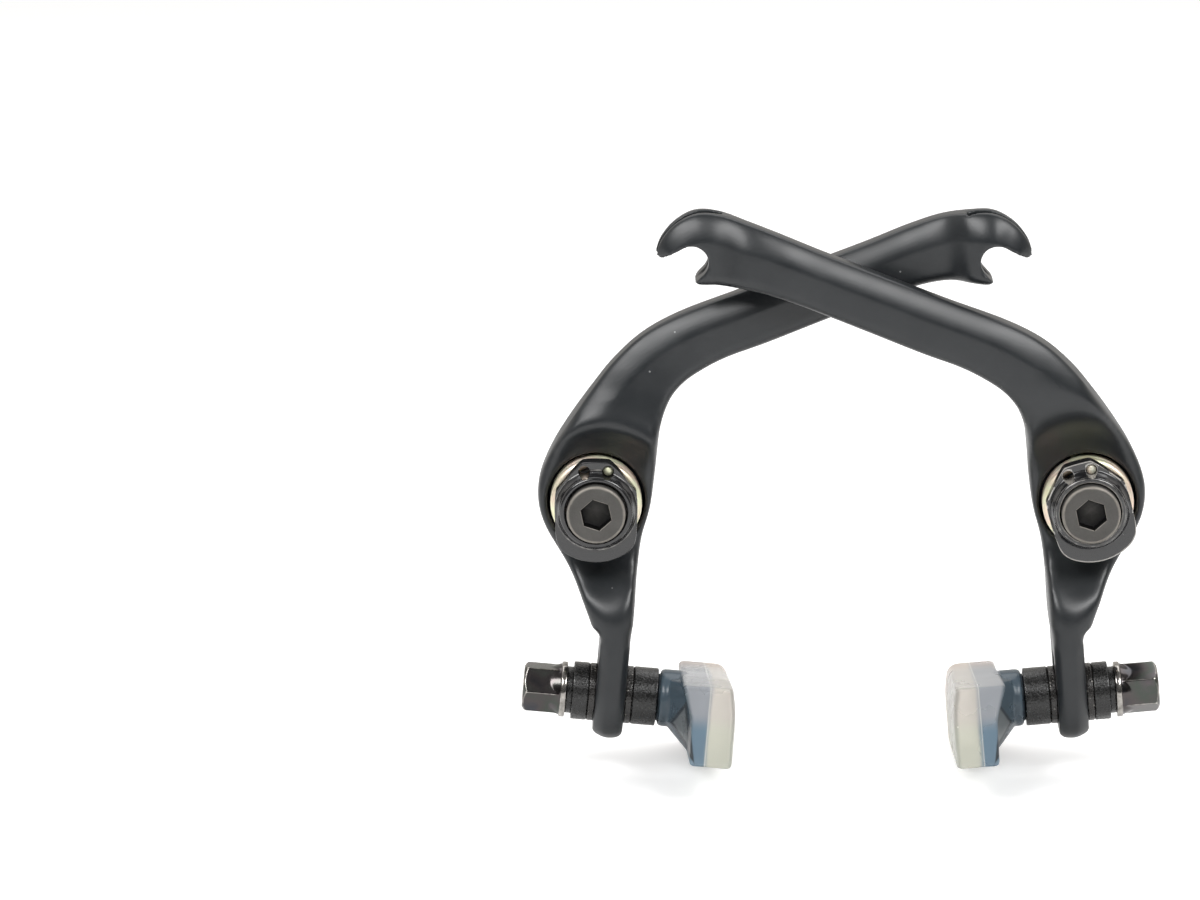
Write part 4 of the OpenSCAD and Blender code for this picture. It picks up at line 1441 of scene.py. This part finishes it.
# %% [markdown]
# The camera
#
# The photograph was taken with a long lens from a little above, and the brake stands right of the
# middle of the picture. So the camera stands 43 mm left of the brake's middle and looks straight
# on, which keeps the small perspective of the original. A shifted lens isn't needed.

# %% Camera
PHOTO_WIDTH = 1200
FOCAL_PIXELS = 7000
PIXELS_PER_MM = 5.6
ELEVATION = math.radians(14)
AIM = Vector((-43.3, MID_Y, 9.6)) * MM

camera_data = bpy.data.cameras.new("camera")
camera_data.sensor_width = 36
camera_data.lens = 36 * FOCAL_PIXELS / PHOTO_WIDTH
camera = bpy.data.objects.new("camera", camera_data)
bpy.context.scene.collection.objects.link(camera)
distance = FOCAL_PIXELS / PIXELS_PER_MM * MM
back = Vector((0, -math.cos(ELEVATION), math.sin(ELEVATION)))
camera.location = AIM + back * distance
camera.rotation_euler = (math.pi / 2 - ELEVATION, 0, 0)
camera_data.clip_start = 0.05
camera_data.clip_end = 20
bpy.context.scene.camera = camera
print("camera", round(distance, 3), "m away with a", round(camera_data.lens), "mm lens")

# %% [markdown]
# The studio's walls
#
# Black metal shows what surrounds it. The photograph's studio is bright behind and above the brake,
# where the white paper is, and dark in front, where the camera stands. That is what draws long soft
# highlights on the arms and keeps their fronts dark, so the world is blended from two ramps, a dim
# room in front and a bright sweep behind. What the camera itself sees is plain white instead, so
# the white background adds no light on the metal.

# %% World
bpy.context.scene.view_settings.view_transform = "Standard"
world = bpy.data.worlds.new("studio")
bpy.context.scene.world = world


def seen_directly(tree):
    """1 for what the camera sees, also through clear rubber, and 0 for other light."""
    ray = add(tree, "ShaderNodeLightPath").outputs
    return math_node(tree, "MAXIMUM", ray["Is Camera Ray"], ray["Is Transmission Ray"])


tree = node_tree(world)
direction = add(tree, "ShaderNodeTexCoord").outputs["Generated"]
split = add(tree, "ShaderNodeSeparateXYZ", {"Vector": direction}).outputs
room = ramp(tree, split["Z"], (0.0, grey(0.10)), (0.3, grey(0.16)), (0.7, grey(0.35)), (1.0, grey(0.3)))
sweep = ramp(tree, split["Z"], (0.0, (1.0, 0.96, 0.90)), (0.5, (1.0, 0.97, 0.93)), (1.0, grey(0.3)))
behind = math_node(tree, "ADD", math_node(tree, "MULTIPLY", split["Y"], 1.4), 0.5, clamp=True)
walls = blend(tree, behind, room, sweep)
studio_light = add(tree, "ShaderNodeBackground", {"Color": walls, "Strength": 0.75}).outputs[0]
white = add(tree, "ShaderNodeBackground", {"Color": (1, 1, 1, 1), "Strength": 1.0}).outputs[0]
mixed = add(tree, "ShaderNodeMixShader", {0: seen_directly(tree), 1: studio_light, 2: white})
add(tree, "ShaderNodeOutputWorld", {"Surface": mixed.outputs[0]})
print("the world is", world.name)

# %% [markdown]
# Lamps
#
# Three soft boxes do the rest: one at each side in front, high up, for the two soft highlights on
# the collars and the glow on the arms' bevels, and a large one overhead and behind for the rims.

# %% Lamps
def soft_box(name, place, size, power):
    """Rectangular lamp at a place in metres, turned to the brake."""
    lamp = bpy.data.lights.new(name, "AREA")
    lamp.shape = "RECTANGLE"
    lamp.size, lamp.size_y = size
    lamp.energy = power
    holder = bpy.data.objects.new(name, lamp)
    holder.location = place
    holder.rotation_euler = (-Vector(place)).to_track_quat("-Z", "Y").to_euler()
    bpy.context.scene.collection.objects.link(holder)


soft_box("left_light", (-0.42, -0.46, 0.55), (0.55, 0.26), 4.4)
soft_box("right_light", (0.42, -0.46, 0.55), (0.55, 0.26), 4.4)
soft_box("top_light", (0.0, 0.35, 0.80), (1.2, 0.5), 4.0)
print(len(bpy.data.lights), "soft boxes")

# %% [markdown]
# The floor
#
# The brake stands on white paper that fades into the background. The paper is nearly white, and a
# share of plain white is added only where the camera looks, so that it reaches the background's
# white and still keeps the soft shadow. That added white is no lamp: the brake doesn't see it.

# %% Floor
FLOOR_REACH = 6.0
FLOOR_WHITE_SHARE = 0.30
floor_z = cad_box[0].z
corners = [(x * FLOOR_REACH, y * FLOOR_REACH, floor_z) for x, y in ((-1, -1), (1, -1), (1, 1), (-1, 1))]
floor_mesh = bpy.data.meshes.new("floor")
floor_mesh.from_pydata(corners, [], [(0, 1, 2, 3)])
loose_object(floor_mesh)
floor_paper = bpy.data.materials.new("white_sweep")
tree = node_tree(floor_paper)
paper = add(tree, "ShaderNodeBsdfPrincipled", {"Base Color": (0.93, 0.93, 0.93, 1), "Roughness": 0.9})
lift = add(tree, "ShaderNodeEmission", {"Color": (1, 1, 1, 1), "Strength": FLOOR_WHITE_SHARE})
nothing = add(tree, "ShaderNodeEmission", {"Color": (0, 0, 0, 1), "Strength": 0.0})
shaders = {0: seen_directly(tree), 1: nothing.outputs[0], 2: lift.outputs[0]}
added = add(tree, "ShaderNodeMixShader", shaders)
both = add(tree, "ShaderNodeAddShader", {0: paper.outputs[0], 1: added.outputs[0]})
add(tree, "ShaderNodeOutputMaterial", {"Surface": both.outputs[0]})
floor_mesh.materials.append(floor_paper)
print("floor at", round(floor_z / MM, 1), "mm")
